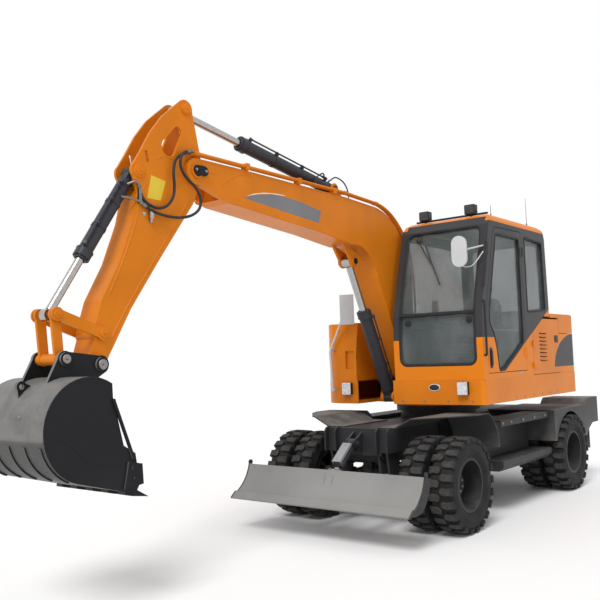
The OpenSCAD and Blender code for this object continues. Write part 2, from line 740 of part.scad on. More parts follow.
module counterweight() color(orange) machine() intersection() {
  translate([0, 0, seam_top]) linear_extrude(height = hood_z) body_plan(4);
  across(-body_right, body_left) polygon([
    [tail_block, seam_top], [tail_block, seam_z + tail_h], [-body_rear - 10, seam_z + tail_h],
    [-body_rear - 10, seam_z + 60], [-body_rear + 40, seam_top]]);
}

// Hood: a cover with open underside, hinged at its front edge
hood_t = 22;
hood_hinge_r = 9;
hood_seat = seam_z + tail_h + door_gap;
HOOD_HINGE = [cab_rear_x(hood_z - 10) - hood_hinge_r - seat_gap, hood_z - 10];

module hood_side(t) {
  front = hood_front - t;
  r = 150 - t;
  x0 = -body_rear + 6 + t;
  x1 = tail_block - 6 - t;
  top = hood_z - t;
  polygon(concat(
    [[x1, hood_seat], [x0, hood_seat]],
    arc([x0 + r, top - r], r, 180, 90, 10),
    [[front, top], [front, body_top + door_gap], [x1, body_top + door_gap]]));
}

module engine_hood() color(orange) machine() {
  difference() {
    intersection() {
      translate([0, 0, seam_z]) linear_extrude(height = hood_z) body_plan(4);
      across(-body_right, body_left) hood_side(0);
    }
    intersection() {
      translate([0, 0, seam_z]) linear_extrude(height = hood_z) body_plan(4 + hood_t);
      across(-body_right, body_left) {
        hood_side(hood_t);
        translate([-body_rear + 100, hood_seat - 10]) square([body_rear + tail_block - 128, 60]);
        translate([tail_block - 40, body_top - 10]) square([hood_front - hood_t - tail_block + 40, 40]);
      }
    }
  }
  for (y = [-700, 700]) {
    bar_y(HOOD_HINGE, hood_hinge_r, y - 50, y + 50);
    across(y - 50, y + 50) translate([hood_front - 1, HOOD_HINGE[1] - 7])
      square([HOOD_HINGE[0] - hood_front + 1, 12]);
  }
}

// Louvred door on the cab side
door_t = 28;
service_front = -300;
service_rear = tail_block + door_gap + 4;
service_top = body_top - 12;
hinge_r = 10;
hinge_y = body_left + hinge_r + seat_gap;
SERVICE_HINGE_X = service_front + door_gap;

// The dark swoop of the body's side rises backwards on this line
SWEEP = [446, 1412];
sweep_slope = 0.524;
function sweep_z(x) = SWEEP[1] + sweep_slope * (SWEEP[0] - x);
function sweep_x(z) = SWEEP[0] - (z - SWEEP[1]) / sweep_slope;

module service_outline() polygon([
  [service_front, seam_z + door_gap], [service_front, sweep_z(service_front)],
  [sweep_x(service_top), service_top], [service_rear, service_top], [service_rear, seam_z + door_gap]]);

module service_door() color(orange) machine() {
  difference() {
    across(body_left - door_t, body_left) service_outline();
    for (i = [0 : 7])
      across(body_left - 40, body_left + 10)
        translate([-690, 1500 + i * 42]) square([200, 16]);
    // Latch recess
    across(body_left - 8, body_left + 10) translate([-1040, 1700]) square([110, 80]);
  }
  for (z = [1430, 1660]) {
    translate([SERVICE_HINGE_X, hinge_y, z]) cylinder(r = hinge_r, h = 60);
    translate([SERVICE_HINGE_X - 56, body_left - 1, z]) cube([55, 11, 60]);
  }
}

// Housings on the side away from the cab
module right_housing() color(orange) machine() {
  z0 = seam_top;
  h = body_top - z0;
  intersection() {
    translate([0, 0, z0]) linear_extrude(height = h) body_plan(2);
    union() {
      difference() {
        across(-body_right, well_right - 12) polygon([
          [-420, z0], [-420, body_top], [body_front - 60, body_top], [body_front, body_top - 350],
          [body_front, z0]]);
        // Step recess in the front
        translate([body_front - 30, well_right - 150, z0 + 130]) cube([60, 110, 190]);
      }
      translate([-420, well_right - 14, z0]) cube([420 - 20, well_left - well_right + 12, h]);
      translate([tail_block + seat_gap, -body_right, z0]) cube([-400 - tail_block, 24, h]);
      difference() {
        translate([hood_front + 12, -body_right, body_top - 22])
          cube([-420 - hood_front, body_right + well_left, 22]);
        translate([EXHAUST[0], EXHAUST[1], z0]) cylinder(r = exhaust_r + 14, h = 2 * h);
      }
    }
  }
  // Block under the hood's right hinge
  translate([HOOD_HINGE[0] - hood_hinge_r, -750, body_top - 1])
    cube([2 * hood_hinge_r, 100, HOOD_HINGE[1] - hood_hinge_r - seat_gap - body_top + 1]);
}

exhaust_r = 38;
engine_h = 500;

module engine() color(black) machine() {
  bed = body_z + bed_h + seat_gap;
  translate([-1030, -330, bed]) cube([540, 640, engine_h]);
  translate([EXHAUST[0], EXHAUST[1], bed + 300]) cylinder(r = exhaust_r, h = 2250 - bed - 300);
  translate([EXHAUST[0], EXHAUST[1], bed + engine_h - 10]) cylinder(r = 70, h = 130);
}

// Cab

cab_front = body_front - 4;
pillar = 78;
sill_z = 1995;
head_z = roof_z - 130;
// Windscreen, from its low edge to its high edge
SCREEN_LOW = [cab_front - 14, 2010];
SCREEN_HIGH = [650, 2890];
screen_dir = (SCREEN_HIGH - SCREEN_LOW) / norm(SCREEN_HIGH - SCREEN_LOW);
// A point at distance d in front of the screen, at height z on it
function on_screen(z, d) = SCREEN_LOW + screen_dir * (z - SCREEN_LOW[1]) / screen_dir[1]
  + [screen_dir[1], -screen_dir[0]] * d;

// Side view of the cab, drawn in by t
function cab_side(t) = [
  [cab_front - 8 - t, seam_top + t], [cab_front - t, 1700], SCREEN_LOW - [t, 0],
  SCREEN_HIGH - [t, 0], [590 - t, roof_z - 34 - t], [520 - t, roof_z - t],
  [-640 + t, roof_z - 12 - t], [-750 + t, roof_z - 50 - t], REAR_HIGH + [t, -t / 2],
  REAR_LOW + [t, t], [sweep_x(REAR_LOW[1] - 8) + t / 2, REAR_LOW[1] + t],
  [SERVICE_HINGE_X + t, sweep_z(SERVICE_HINGE_X) + 8 + t * 0.6],
  [SERVICE_HINGE_X + t, seam_top + t]];

DOOR_HINGE_X = -door_rear - door_gap;

// Outline of the door, grown by g
function door_side(g) = [
  [800 + g, seam_z + 60 - g], [806 + g, 2005], [572 + g, 2800 + g], [520 + g, 2862 + g],
  [-door_rear - g, 2874 + g], [-door_rear - g, seam_z + 60 - g]];

// Glass of the door: narrow at the bottom, with the sweep of the body's side above
function door_pane(g) = [
  [560 - g, 1430 + g], [SWEEP[0] + g, SWEEP[1] + 26 + g], [-60 + g, sweep_z(-60) + 26 + g],
  [-60 + g, 2800 - g], [505 - g, 2800 - g], [735 - g, 2020], [735 - g, 1900], [650 - g, 1790],
  [600 - g, 1650]];

function quarter_pane(g) = [
  [-210 - g, 2030 + g], [-210 - g, 2835 - g], [-690 + g, 2815 - g], [-710 + g, 2060 + g]];

function right_pane(g) = [
  [840 - g, sill_z + g], [610 - g, 2790 - g], [560 - g, 2835 - g], [-690 + g, 2820 - g],
  [-710 + g, sill_z + 60 + g]];

module front_pane(g) round_box([cab_right + pillar + g, 1505 + g],
  [body_left - pillar - g, head_z - g], 70);

module rear_pane(g) round_box([cab_right + 90 + g, 2070 + g],
  [body_left - 90 - g, 2820 - g], 60);

// Front view of the cab, drawn in by t, with round edges along the roof
roof_r = 88;
module cab_section(t) {
  r = roof_r - t;
  translate([cab_right + t, seam_z]) square([body_left - cab_right - 2 * t, roof_z - roof_r - seam_z]);
  translate([cab_right + roof_r, seam_z]) square([body_left - cab_right - 2 * roof_r, roof_z - t - seam_z]);
  for (y = [cab_right + roof_r, body_left - roof_r]) translate([y, roof_z - roof_r]) circle(r = r);
}

module cab_body(t) intersection() {
  across(cab_right + t, body_left - t) polygon(cab_side(t));
  along(-cab_rear - 60, body_front + 10) cab_section(t);
}

module cab_shell() color(dark) machine() {
  difference() {
    cab_body(0);
    cab_body(wall_t);
    across(body_left - wall_t - 1, body_left + 1) polygon(door_side(door_gap));
    across(body_left - wall_t - 1, body_left + 1) polygon(quarter_pane(0));
    across(cab_right - 1, cab_right + wall_t + 1) polygon(right_pane(0));
    along(450, body_front + 50) front_pane(0);
    along(-cab_rear - 60, -cab_rear + 90) rear_pane(0);
  }
}

module cab_glass() color(glass) machine() {
  across(body_left - 24 - glass_t, body_left - 24) polygon(quarter_pane(seat_gap));
  across(cab_right + 18, cab_right + 18 + glass_t) polygon(right_pane(seat_gap));
  intersection() {
    across(cab_right, body_left) difference() {
      polygon(cab_side(20));
      polygon(cab_side(20 + glass_t));
    }
    union() {
      along(450, body_front + 50) front_pane(seat_gap);
      along(-cab_rear - 60, -cab_rear + 90) rear_pane(seat_gap);
    }
  }
}

module cab_door() color(dark) machine() {
  difference() {
    across(body_left - wall_t, body_left) polygon(door_side(0));
    across(body_left - wall_t - 1, body_left + 1) polygon(door_pane(0));
  }
  for (z = [1560, 2620]) {
    translate([DOOR_HINGE_X, hinge_y, z]) cylinder(r = hinge_r, h = 90);
    translate([DOOR_HINGE_X + 1, body_left - 1, z]) cube([50, 11, 90]);
  }
}

module door_glass() color(glass) machine()
  across(body_left - 20 - glass_t, body_left - 20) polygon(door_pane(seat_gap));

// Seat on its base, at the middle of the cab
seat_y = (cab_right + body_left) / 2;
floor_z = seam_top + wall_t;

module operator_seat() color(black) machine() translate([0, seat_y, 0]) {
  translate([-60, -200, floor_z + seat_gap]) cube([380, 400, 200]);
  across(-250, 250) polygon([
    [-110, floor_z + 200], [400, floor_z + 200], [430, floor_z + 250], [410, floor_z + 320],
    [-20, floor_z + 300], [-130, floor_z + 830], [-220, floor_z + 810]]);
  across(-130, 130) polygon([
    [-140, floor_z + 860], [-175, floor_z + 1040], [-235, floor_z + 1020], [-215, floor_z + 780]]);
}

// Consoles with their levers, pedals and the steering column
module cab_controls() color(dark) machine() translate([0, seat_y, 0]) {
  for (m = [-1, 1]) {
    translate([-60, m * 330 - 65, floor_z + seat_gap]) cube([400, 130, 480]);
    translate([260, m * 330, floor_z + 470]) cylinder(r = 14, h = 190);
    translate([260, m * 330, floor_z + 640]) sphere(r = 30);
  }
  intersection() {
    translate([620, 0, floor_z]) rotate([0, -14, 0]) translate([0, 0, -20]) cylinder(r = 45, h = 586);
    translate([400, -100, floor_z + seat_gap]) cube([400, 200, 700]);
  }
  translate([484, 0, floor_z + 546]) rotate([0, -14, 0]) difference() {
    cylinder(r = 190, h = 24);
    translate([0, 0, -5]) cylinder(r = 162, h = 40);
    translate([0, 0, -10]) cylinder(r = 10, h = 5);
  }
  translate([484, 0, floor_z + 546]) rotate([0, -14, 0]) {
    translate([-175, -14, 4]) cube([350, 28, 16]);
    cylinder(r = 40, h = 20);
  }
  for (y = [-95, 95]) translate([640, y - 35, floor_z + seat_gap]) rotate([0, -30, 0]) cube([130, 70, 20]);
}

// Mirrors: an oval one before the cab's pillar, and one on a tall stay on the other side
mirror_bar_r = 9;
stay_r = 13;
STAY_X = body_front + 30;
STAY = [[-752, 1250], [-774, 1673], [-545, 2120]];

module mirrors() color(steel) machine() {
  translate([1000, 860, 2590]) rotate([0, 90, 8]) {
    translate([-75, 0, 0]) cylinder(r = 75, h = 28);
    translate([75, 0, 0]) cylinder(r = 75, h = 28);
    translate([-75, -75, 0]) cube([150, 150, 28]);
  }
  foot = on_screen(2660, mirror_bar_r + seat_gap);
  hull() for (p = [[foot[0], body_left - pillar / 2, foot[1]], [992, 880, 2600]])
    translate(p) sphere(r = mirror_bar_r, $fn = 16);
  // Stay on the right with two brackets, and its mirror
  for (i = [0, 1]) hull() for (p = [STAY[i], STAY[i + 1]])
    translate([STAY_X, p[0], p[1]]) sphere(r = stay_r, $fn = 16);
  for (p = [[STAY[0], 0], [STAY[1], 2]]) {
    skin = body_plan_x(p[0][0] + 22, p[1]) + seat_gap;
    translate([skin, p[0][0] - 2, p[0][1]]) cube([STAY_X - skin, 24, 26]);
  }
  translate([STAY_X, STAY[2][0] + 20, STAY[2][1]]) rotate([0, 90, 20])
    translate([-160, -75, 0]) cube([320, 150, 26]);
}

// Lamps on the roof and the body, with the rail along the roof's front
module lamps() color(dark) machine() {
  for (y = [seat_y - 300, seat_y + 230]) {
    translate([440, y - 55, roof_z + 30]) cube([70, 110, 95]);
    translate([460, y - 12, roof_z + seat_gap]) cube([30, 24, 40]);
  }
  hull() for (y = [cab_right + 90, body_left - 90])
    translate([475, y, roof_z + 22]) sphere(r = 11, $fn = 16);
  for (y = [800, -560])
    translate([body_front + seat_gap, y - 50, 1215]) cube([50, 100, 120]);
}

// Working equipment

// Points on an arc from angle a0 to a1
function arc(c, r, a0, a1, n) = [for (i = [0 : n]) c + r * [cos(a0 + (a1 - a0) * i / n), sin(a0 + (a1 - a0) * i / n)]];

arm_gap = arm_w / 2 + side_play;
tip_r = 105;

// Centre and radius of the gooseneck's back
BACK = [1130, 2420];
back_r = 735;

// Hollow of the underside, which the cylinder's eye swings in
BELLY = [1440, 2330];
belly_r = 397;

// Side view of the boom: foot, back of the knee, top, tip and underside
boom_outline = concat(
  arc(BOOM_FOOT, 122, -28, -184, 10),
  arc(BACK, back_r, 176, 96, 14),
  [[1600, 3182], [3060, 3204]],
  arc(ARM_PIVOT, tip_r, 86, -96, 10),
  [[3230, 2895], [2050, 2790], [1500, 2722]],
  arc(BELLY, belly_r, 96, 166, 12));

module boom() color(orange) machine() translate([0, boom_y, 0]) {
  half = boom_w / 2;
  difference() {
    union() {
      across(-half, half) polygon(boom_outline);
      // Side plates at the belly for the boom cylinder's rod
      for (m = [0, 1]) mirror([0, m, 0]) {
        across(cyl_in, cyl_in + 24)
          ear(BOOM_CYL_EYE, 62, [1560, 2740], [1180, 2600]);
        bar_y(BOOM_CYL_EYE, 44, cyl_in + 24, cyl_in + 42);
        // Ears on the top for the arm cylinder
        across(45 + side_play, 65 + side_play)
          ear(ARM_CYL_BASE, 52, [1500, 3150], [1742, 3150]);
      }
    }
    // Fork at the tip
    translate([0, 0, ARM_PIVOT[1]]) bar_y([ARM_PIVOT[0], 0], 330, -arm_gap, arm_gap);
    bar_y(ARM_CYL_BASE, foot_pin_r - 8 + pin_play, -half, half);
  }
  bar_y(BOOM_FOOT, foot_pin_r, -foot_in - plate_t - 6, foot_in + plate_t + 6);
  bar_y(ARM_PIVOT, arm_pin_r, -half, half);
  for (m = [0, 1]) mirror([0, m, 0]) bar_y(ARM_PIVOT, 58, half, half + 14);
}

// Two steel pipes along the boom's top and down its back, held by clamps. Unions join a
// front run, a middle run and a bent run that follows the back at a constant distance.
pipe_r = 13;
pipe_y = [120, 152];
pipe_gap = 40;
PIPE_END = [3600, 3238];
PIPE_KNEE = [1600, 3182 + pipe_gap];
PIPE_BEND = BACK + (back_r + pipe_gap) * turned(1, 96);
bend_end = 172;
clamp_w = 40;
boom_top_slope = 22 / 1460;

module pipe_union(a, b, y) aimed(a, b, y) rotate([0, 90, 0])
  translate([0, 0, -20]) cylinder(r = pipe_r + 4, h = 40);

module boom_pipes() color(orange) machine() {
  for (y = pipe_y) {
    aimed(PIPE_KNEE, PIPE_END, boom_y + y) rotate([0, 90, 0])
      cylinder(r = pipe_r, h = length_of(PIPE_KNEE, PIPE_END));
    aimed(PIPE_BEND, PIPE_KNEE, boom_y + y) rotate([0, 90, 0])
      cylinder(r = pipe_r, h = length_of(PIPE_BEND, PIPE_KNEE));
    pipe_union(PIPE_KNEE, PIPE_END, boom_y + y);
    pipe_union(PIPE_BEND, PIPE_KNEE, boom_y + y);
    pipe_union(PIPE_END, PIPE_KNEE, boom_y + y);
    translate([BACK[0], boom_y + y, BACK[1]]) rotate([90, 0, 0]) rotate([0, 0, 96])
      rotate_extrude(angle = bend_end - 96) translate([back_r + pipe_gap, 0]) circle(r = pipe_r);
  }
  for (x = [3000, 2300, 1760]) {
    rest = 3182 + (x + clamp_w - 1600) * boom_top_slope + seat_gap;
    translate([x, boom_y + pipe_y[0] - 18, rest])
      cube([clamp_w, pipe_y[1] - pipe_y[0] + 36, pipe_gap + pipe_r + 2]);
  }
}

module boom_cylinder_tube() color(black) machine() aimed(BOOM_CYL_BASE, BOOM_CYL_EYE, boom_y)
  barrel(boom_tube_r, boom_rod_r, boom_tube - 20, 58, foot_pin_r - 5, 96, 2 * (cyl_in + 28));

module boom_cylinder_rod() color(steel) machine() aimed(BOOM_CYL_BASE, BOOM_CYL_EYE, boom_y)
  rod(boom_rod_r, boom_rod_in, boom_cyl, 56, foot_pin_r, 92);

module arm_cylinder_tube() color(black) machine() aimed(ARM_CYL_BASE, ARM_TAIL, boom_y)
  barrel(arm_tube_r, arm_rod_r, arm_tube, 46, foot_pin_r - 8, 90, 2 * (65 + side_play + 8));

module arm_cylinder_rod() color(steel) machine() aimed(ARM_CYL_BASE, ARM_TAIL, boom_y)
  rod(arm_rod_r, arm_rod_in, arm_cyl, 50, 28, 100);

module bucket_cylinder_tube() color(black) machine() aimed(BUCKET_CYL_BASE, LINK_TOP, boom_y)
  barrel(bucket_tube_r, bucket_rod_r, bucket_tube, 46, 26, 90, arm_w + 12);

module bucket_cylinder_rod() color(steel) machine() aimed(BUCKET_CYL_BASE, LINK_TOP, boom_y)
  rod(bucket_rod_r, bucket_rod_in, bucket_cyl, 42, 24, 64);

// Arm: box with two tall gusset plates at its head

arm_front = [[4150, 2850], [4200, 2640], [4325, 2330], [4480, 2060]];

arm_outline = concat(
  arc(ARM_TAIL, 74, 190, 40, 8),
  [[3900, 3480], [4020, 3330], [4110, 3180]],
  arc(BUCKET_CYL_BASE, 74, 50, -40, 5),
  arm_front,
  arc(ROCKER_PIN, 76, 40, -30, 5),
  arc(BUCKET_PIVOT, 66, 20, -170, 8),
  [[4225, 2010], [3980, 2345], [3600, 2845]],
  arc(ARM_PIVOT, 108, 230, 165, 5));

// The part between the gussets that is filled
arm_core = concat(
  arc(ARM_PIVOT, 106, 240, 80, 8),
  [[4040, 2990]],
  arm_front,
  arc(ROCKER_PIN, 76, 40, -30, 5),
  arc(BUCKET_PIVOT, 66, 20, -170, 8),
  [[4225, 2010], [3980, 2345], [3600, 2845]]);

gusset_t = 22;

module arm() color(orange) machine() translate([0, boom_y, 0]) {
  half = arm_w / 2;
  ears = half + 28;
  difference() {
    union() {
      across(-half + 1, half - 1) polygon(arm_core);
      for (y = [-half, half - gusset_t]) across(y, y + gusset_t) polygon(arm_outline);
      bar_y(BUCKET_PIVOT, 62, -ears, ears);
    }
    // Lightening holes of the gussets
    across(-half - 1, half + 1) {
      translate([3745, 3390]) circle(r = 42);
      translate([3840, 3250]) circle(r = 70);
      polygon([[3703, 3380], [3786, 3405], [3906, 3275], [3772, 3232]]);
      strap([4062, 3172], [4048, 3112], 15, 15);
    }
    bar_y(ARM_PIVOT, arm_pin_r + pin_play, -half - 1, half + 1);
    bar_y(BUCKET_CYL_BASE, 26 + pin_play, -half - 1, half + 1);
    bar_y(ROCKER_PIN, bucket_pin_r + pin_play, -half - 1, half + 1);
    bar_y(BUCKET_PIVOT, bucket_pin_r + pin_play, -ears - 1, ears + 1);
  }
  for (m = [0, 1]) mirror([0, m, 0]) bar_y(ARM_TAIL, 48, half, half + 14);
}

// Rockers on both sides of the arm
rocker_in = arm_w / 2 + side_play;
rocker_t = 18;
link_in = 74;
link_t = 22;

module strap(a, b, ra, rb) {
  d = (b - a) / norm(b - a);
  n = [-d[1], d[0]];
  translate(a) circle(r = ra);
  translate(b) circle(r = rb);
  polygon([a + n * ra * 0.8, b + n * rb * 0.8, b - n * rb * 0.8, a - n * ra * 0.8]);
}

module rocker() color(orange) machine() translate([0, boom_y, 0]) {
  bar_y(ROCKER_PIN, bucket_pin_r, -rocker_in - rocker_t, rocker_in + rocker_t);
  for (m = [0, 1]) mirror([0, m, 0]) {
    across(rocker_in, rocker_in + rocker_t) strap(ROCKER_PIN, LINK_TOP, 48, 46);
    bar_y(LINK_TOP, bucket_pin_r, link_in, rocker_in + 1);
  }
}

module bucket_link() color(orange) machine() translate([0, boom_y, 0]) {
  for (m = [0, 1]) mirror([0, m, 0]) difference() {
    across(link_in, link_in + link_t) strap(LINK_TOP, LINK_LOW, 44, 42);
    bar_y(LINK_TOP, bucket_pin_r + pin_play, link_in - 1, link_in + link_t + 1);
  }
  bar_y(LINK_LOW, 38, -ear_in + 1, ear_in - 1);
}

// Bucket
ear_in = arm_w / 2 + 28 + side_play;
ear_t = 24;
BOWL = [4800, 1215];
bowl_r = 332;
LIP = [4450, 772];
hook_r = 18;
hook_t = 26;
HOOK = BOWL + (bowl_r + 34) * turned(1, 50);
MOUTH_TOP = BOWL + bowl_r * [cos(122), sin(122)];
strip_w = 34;
strip_t = 9;
strip_pitch = 172;
cutter_t = 14;
lip_dir = [cos(-163), sin(-163)];

module bucket_side() polygon(concat(
  arc(BOWL, bowl_r, 122, -73, 20),
  [LIP, LIP + [-38, 60], LIP + [-4, 262], LIP + [90, 320], MOUTH_TOP + [-4, -90]]));

module bucket() color(dark) machine() translate([0, boom_y, 0]) {
  half = bucket_w / 2;
  across(-half, half) polygon(concat(
    arc(BOWL, bowl_r, 122, -73, 24), [LIP, LIP + [22, 24]], arc(BOWL, bowl_r - bucket_t, -71.5, 122, 24)));
  for (y = [-half, half - bucket_t]) across(y, y + bucket_t) bucket_side();
  // Ears on the back
  for (m = [0, 1]) mirror([0, m, 0]) {
    across(ear_in, ear_in + ear_t) {
      ear(BUCKET_PIVOT, 62, BOWL + 325 * [cos(122), sin(122)], BOWL + 325 * [cos(95), sin(95)]);
      ear(LINK_LOW, 54, BOWL + 325 * [cos(105), sin(105)], BOWL + 325 * [cos(62), sin(62)]);
      polygon([BUCKET_PIVOT + [0, 58], LINK_LOW + [0, 50], LINK_LOW, BOWL + [0, 320], BUCKET_PIVOT]);
    }
    bar_y(LINK_LOW, 44, ear_in + ear_t, ear_in + ear_t + 16);
    bar_y(BUCKET_PIVOT, 50, ear_in + ear_t, ear_in + ear_t + 16);
  }
  bar_y(BUCKET_PIVOT, bucket_pin_r, -ear_in - 1, ear_in + 1);
  // Lifting eye on the back
  difference() {
    across(-hook_t / 2, hook_t / 2)
      ear(HOOK, 36, BOWL + (bowl_r - 6) * turned(1, 60), BOWL + (bowl_r - 6) * turned(1, 38));
    bar_y(HOOK, hook_r, -hook_t, hook_t);
  }
  // Wear strips under the bowl
  for (i = [-2 : 2])
    across(i * strip_pitch - strip_w / 2, i * strip_pitch + strip_w / 2) intersection() {
      difference() {
        translate(BOWL) circle(r = bowl_r + strip_t);
        translate(BOWL) circle(r = bowl_r - 2);
      }
      polygon([BOWL, BOWL + 2 * bowl_r * turned(1, -14), BOWL + 2 * bowl_r * turned(1, -40),
        BOWL + 2 * bowl_r * turned(1, -66)]);
    }
  // Side cutters ahead of the lip, and a bar along the upper edge of each side
  for (m = [0, 1]) mirror([0, m, 0]) {
    across(half - 1, half + cutter_t) {
      polygon([LIP + [-58, 58], LIP + [-50, 190], LIP + [60, 214], LIP + [96, 40]]);
      strap(LIP + [20, 236], MOUTH_TOP + [-4, -110], 12, 12);
    }
    for (p = [LIP + [14, 100], LIP + [28, 168]]) bar_y(p, 13, half, half + cutter_t + 9);
  }
  // Teeth along the lip
  pitch = (bucket_w - 90) / (tooth_count - 1);
  for (i = [0 : tooth_count - 1])
    across(-half + 45 + i * pitch - 34, -half + 45 + i * pitch + 34)
      polygon([LIP + [70, 40], LIP + [20, 44], LIP + 125 * lip_dir, LIP + [20, -14], LIP + [80, 2]]);
}

chassis_frame();
mudguards();
side_steps();
front_axle();
rear_axle();
steering_rod();
knuckle_left();
knuckle_right();
wheels_front_left();
wheels_front_right();
wheels_rear_left();
wheels_rear_right();
tyres_front_left();
tyres_front_right();
tyres_rear_left();
tyres_rear_right();
blade();
blade_cylinder_tube();
blade_cylinder_rod();
swing_frame();
counterweight();
engine_hood();
service_door();
right_housing();
engine();
cab_shell();
cab_glass();
operator_seat();
cab_controls();
cab_door();
door_glass();
mirrors();
lamps();
boom();
boom_pipes();
boom_cylinder_tube();
boom_cylinder_rod();
arm_cylinder_tube();
arm_cylinder_rod();
arm();
bucket_cylinder_tube();
bucket_cylinder_rod();
rocker();
bucket_link();
bucket();
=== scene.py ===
# Looks of a wheeled excavator on twin tyres, with a gooseneck boom and a dozer blade.
# X points to the blade, Y to the cab side and Z up, in metres, and the ground is at Z = 0.

import math

import bmesh
import bpy
from mathutils import Matrix, Vector


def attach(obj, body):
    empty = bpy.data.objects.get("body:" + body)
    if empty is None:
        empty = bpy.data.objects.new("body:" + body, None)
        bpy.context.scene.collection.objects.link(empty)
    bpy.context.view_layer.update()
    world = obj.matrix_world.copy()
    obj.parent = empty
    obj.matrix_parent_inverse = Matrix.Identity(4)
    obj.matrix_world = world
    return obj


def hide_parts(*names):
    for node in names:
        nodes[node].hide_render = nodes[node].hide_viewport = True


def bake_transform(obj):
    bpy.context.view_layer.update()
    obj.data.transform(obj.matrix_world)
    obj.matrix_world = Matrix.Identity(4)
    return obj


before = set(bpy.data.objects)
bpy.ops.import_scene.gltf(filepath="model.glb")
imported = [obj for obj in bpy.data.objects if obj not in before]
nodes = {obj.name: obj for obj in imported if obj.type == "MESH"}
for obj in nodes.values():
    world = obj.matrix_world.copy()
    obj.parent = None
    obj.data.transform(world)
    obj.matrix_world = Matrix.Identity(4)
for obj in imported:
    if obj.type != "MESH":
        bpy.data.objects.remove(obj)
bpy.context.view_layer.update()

# The CAD frame is measured from the middle of the machine's length. Sizes here start at
# the slewing axis, which lies this far behind it, and the equipment has its own mid plane.
SLEW_X = -1.401
BOOM_Y = -0.190


def at(x, y, z):
    """A point measured from the slewing axis, in the machine's frame."""
    return Vector((x + SLEW_X, y, z))


def route(points):
    """Several such points."""
    return [at(*point) for point in points]


# Studio
# A pale floor that keeps the machine's shadow, a white sky and one soft sun lamp. The
# camera stands where the photograph was taken, low and at the machine's front left.

camera_data = bpy.data.cameras.new("photo_camera")
camera_data.sensor_width = 36
camera_data.lens = 46.58
camera_data.clip_end = 200
camera = bpy.data.objects.new("photo_camera", camera_data)
bpy.context.scene.collection.objects.link(camera)
yaw, pitch, roll = math.radians(38.596), math.radians(4.26), math.radians(-1.897)
look = Vector((-math.cos(yaw) * math.cos(pitch), -math.sin(yaw) * math.cos(pitch), math.sin(pitch)))
level = look.cross(Vector((0, 0, 1))).normalized()
upright = level.cross(look)
right = math.cos(roll) * level + math.sin(roll) * upright
top = -math.sin(roll) * level + math.cos(roll) * upright
turn = Matrix((right, top, -look)).transposed().to_4x4()
CAMERA_SPOT = at(7.7768, 4.2804, 1.6201)
camera.matrix_world = Matrix.Translation(CAMERA_SPOT) @ turn
bpy.context.scene.camera = camera
bpy.context.scene.view_settings.view_transform = "Standard"


class Field:
    """A value that varies over a surface: one socket of a node tree, with arithmetic."""

    def __init__(self, tree, socket=None):
        self.tree = tree
        self.socket = socket

    def node(self, kind, settings, inputs, output=0):
        """Adds a node, sets its settings, then its sockets to numbers, colours or fields."""
        made = self.tree.nodes.new("ShaderNode" + kind)
        for name, value in settings.items():
            setattr(made, name, value)
        for name, value in inputs.items():
            if isinstance(value, Field):
                self.tree.links.new(value.socket, made.inputs[name])
            else:
                made.inputs[name].default_value = value
        return Field(self.tree, made.outputs[output])

    def drive(self, shader, name):
        """Feeds this field to a socket of a shader."""
        self.tree.links.new(self.socket, shader.inputs[name])

    def maths(self, operation, *values):
        return self.node("Math", {"operation": operation}, dict(enumerate(values)))

    def __add__(self, other):
        return self.maths("ADD", self, other)

    def __radd__(self, other):
        return self.maths("ADD", other, self)

    def __sub__(self, other):
        return self.maths("SUBTRACT", self, other)

    def __rsub__(self, other):
        return self.maths("SUBTRACT", other, self)

    def __mul__(self, other):
        return self.maths("MULTIPLY", self, other)

    def __rmul__(self, other):
        return self.maths("MULTIPLY", other, self)

    def most(self, limit):
        return self.maths("MINIMUM", self, limit)

    def size(self):
        """The value without its sign."""
        return self.maths("ABSOLUTE", self)

    def root(self):
        return self.maths("SQRT", self)

    def wave(self):
        return self.maths("SINE", self)

    def step(self, low, high):
        """0 below low, 1 above high and smooth between them."""
        return self.node("MapRange", {"interpolation_type": "SMOOTHSTEP"},
                         {0: self, 1: low, 2: high, 3: 0.0, 4: 1.0})

    def above(self, level, soft=0.0015):
        """1 above a level, with a sprayed edge."""
        return self.step(level - soft, level + soft)

    def mix(self, first, second):
        """The first colour where this field is 0, the second where it is 1."""
        return self.node("Mix", {"data_type": "RGBA"}, {0: self, 6: first, 7: second}, 2)

    def place(self):
        """The point of the surface, in the machine's frame."""
        return self.node("TexCoord", {}, {}, "Object")

    def axis(self, name):
        return self.node("SeparateXYZ", {}, {0: self.place()}, name)

    def noise(self, scale, detail=3.0, rough=0.55):
        return self.node("TexNoise", {}, {"Vector": self.place(), "Scale": scale,
                                          "Detail": detail, "Roughness": rough})

    def bump(self, strength, distance):
        """A normal from this field as a height."""
        return self.node("Bump", {}, {"Strength": strength, "Distance": distance, "Height": self})

    def facing_up(self):
        normal = self.node("NewGeometry", {}, {}, "Normal")
        return self.node("SeparateXYZ", {}, {0: normal}, "Z")


def tint(red, green, blue, alpha=1.0):
    return (red, green, blue, alpha)


def scaled(colour, factor, lift=0.0):
    """A colour made darker or paler."""
    return tint(*(min(1.0, c * factor + lift) for c in colour[:3]))


def surface(name):
    """A new material, with its shader and a field on its node tree."""
    material = bpy.data.materials.new(name)
    material.use_nodes = True
    return material, material.node_tree.nodes["Principled BSDF"], Field(material.node_tree)


world = bpy.data.worlds.new("studio_sky")
bpy.context.scene.world = world
world.use_nodes = True
sky = Field(world.node_tree)
backdrop = world.node_tree.nodes["Background"]
rays = [sky.node("LightPath", {}, {}, "Is %s Ray" % kind)
        for kind in ("Camera", "Glossy", "Transmission")]
seen = (rays[0] + (rays[1] + rays[2])).most(1.0)
SKY_LIGHT = 0.66
backdrop.inputs["Color"].default_value = tint(1, 1, 1)
(SKY_LIGHT + (1 - SKY_LIGHT) * seen).drive(backdrop, "Strength")

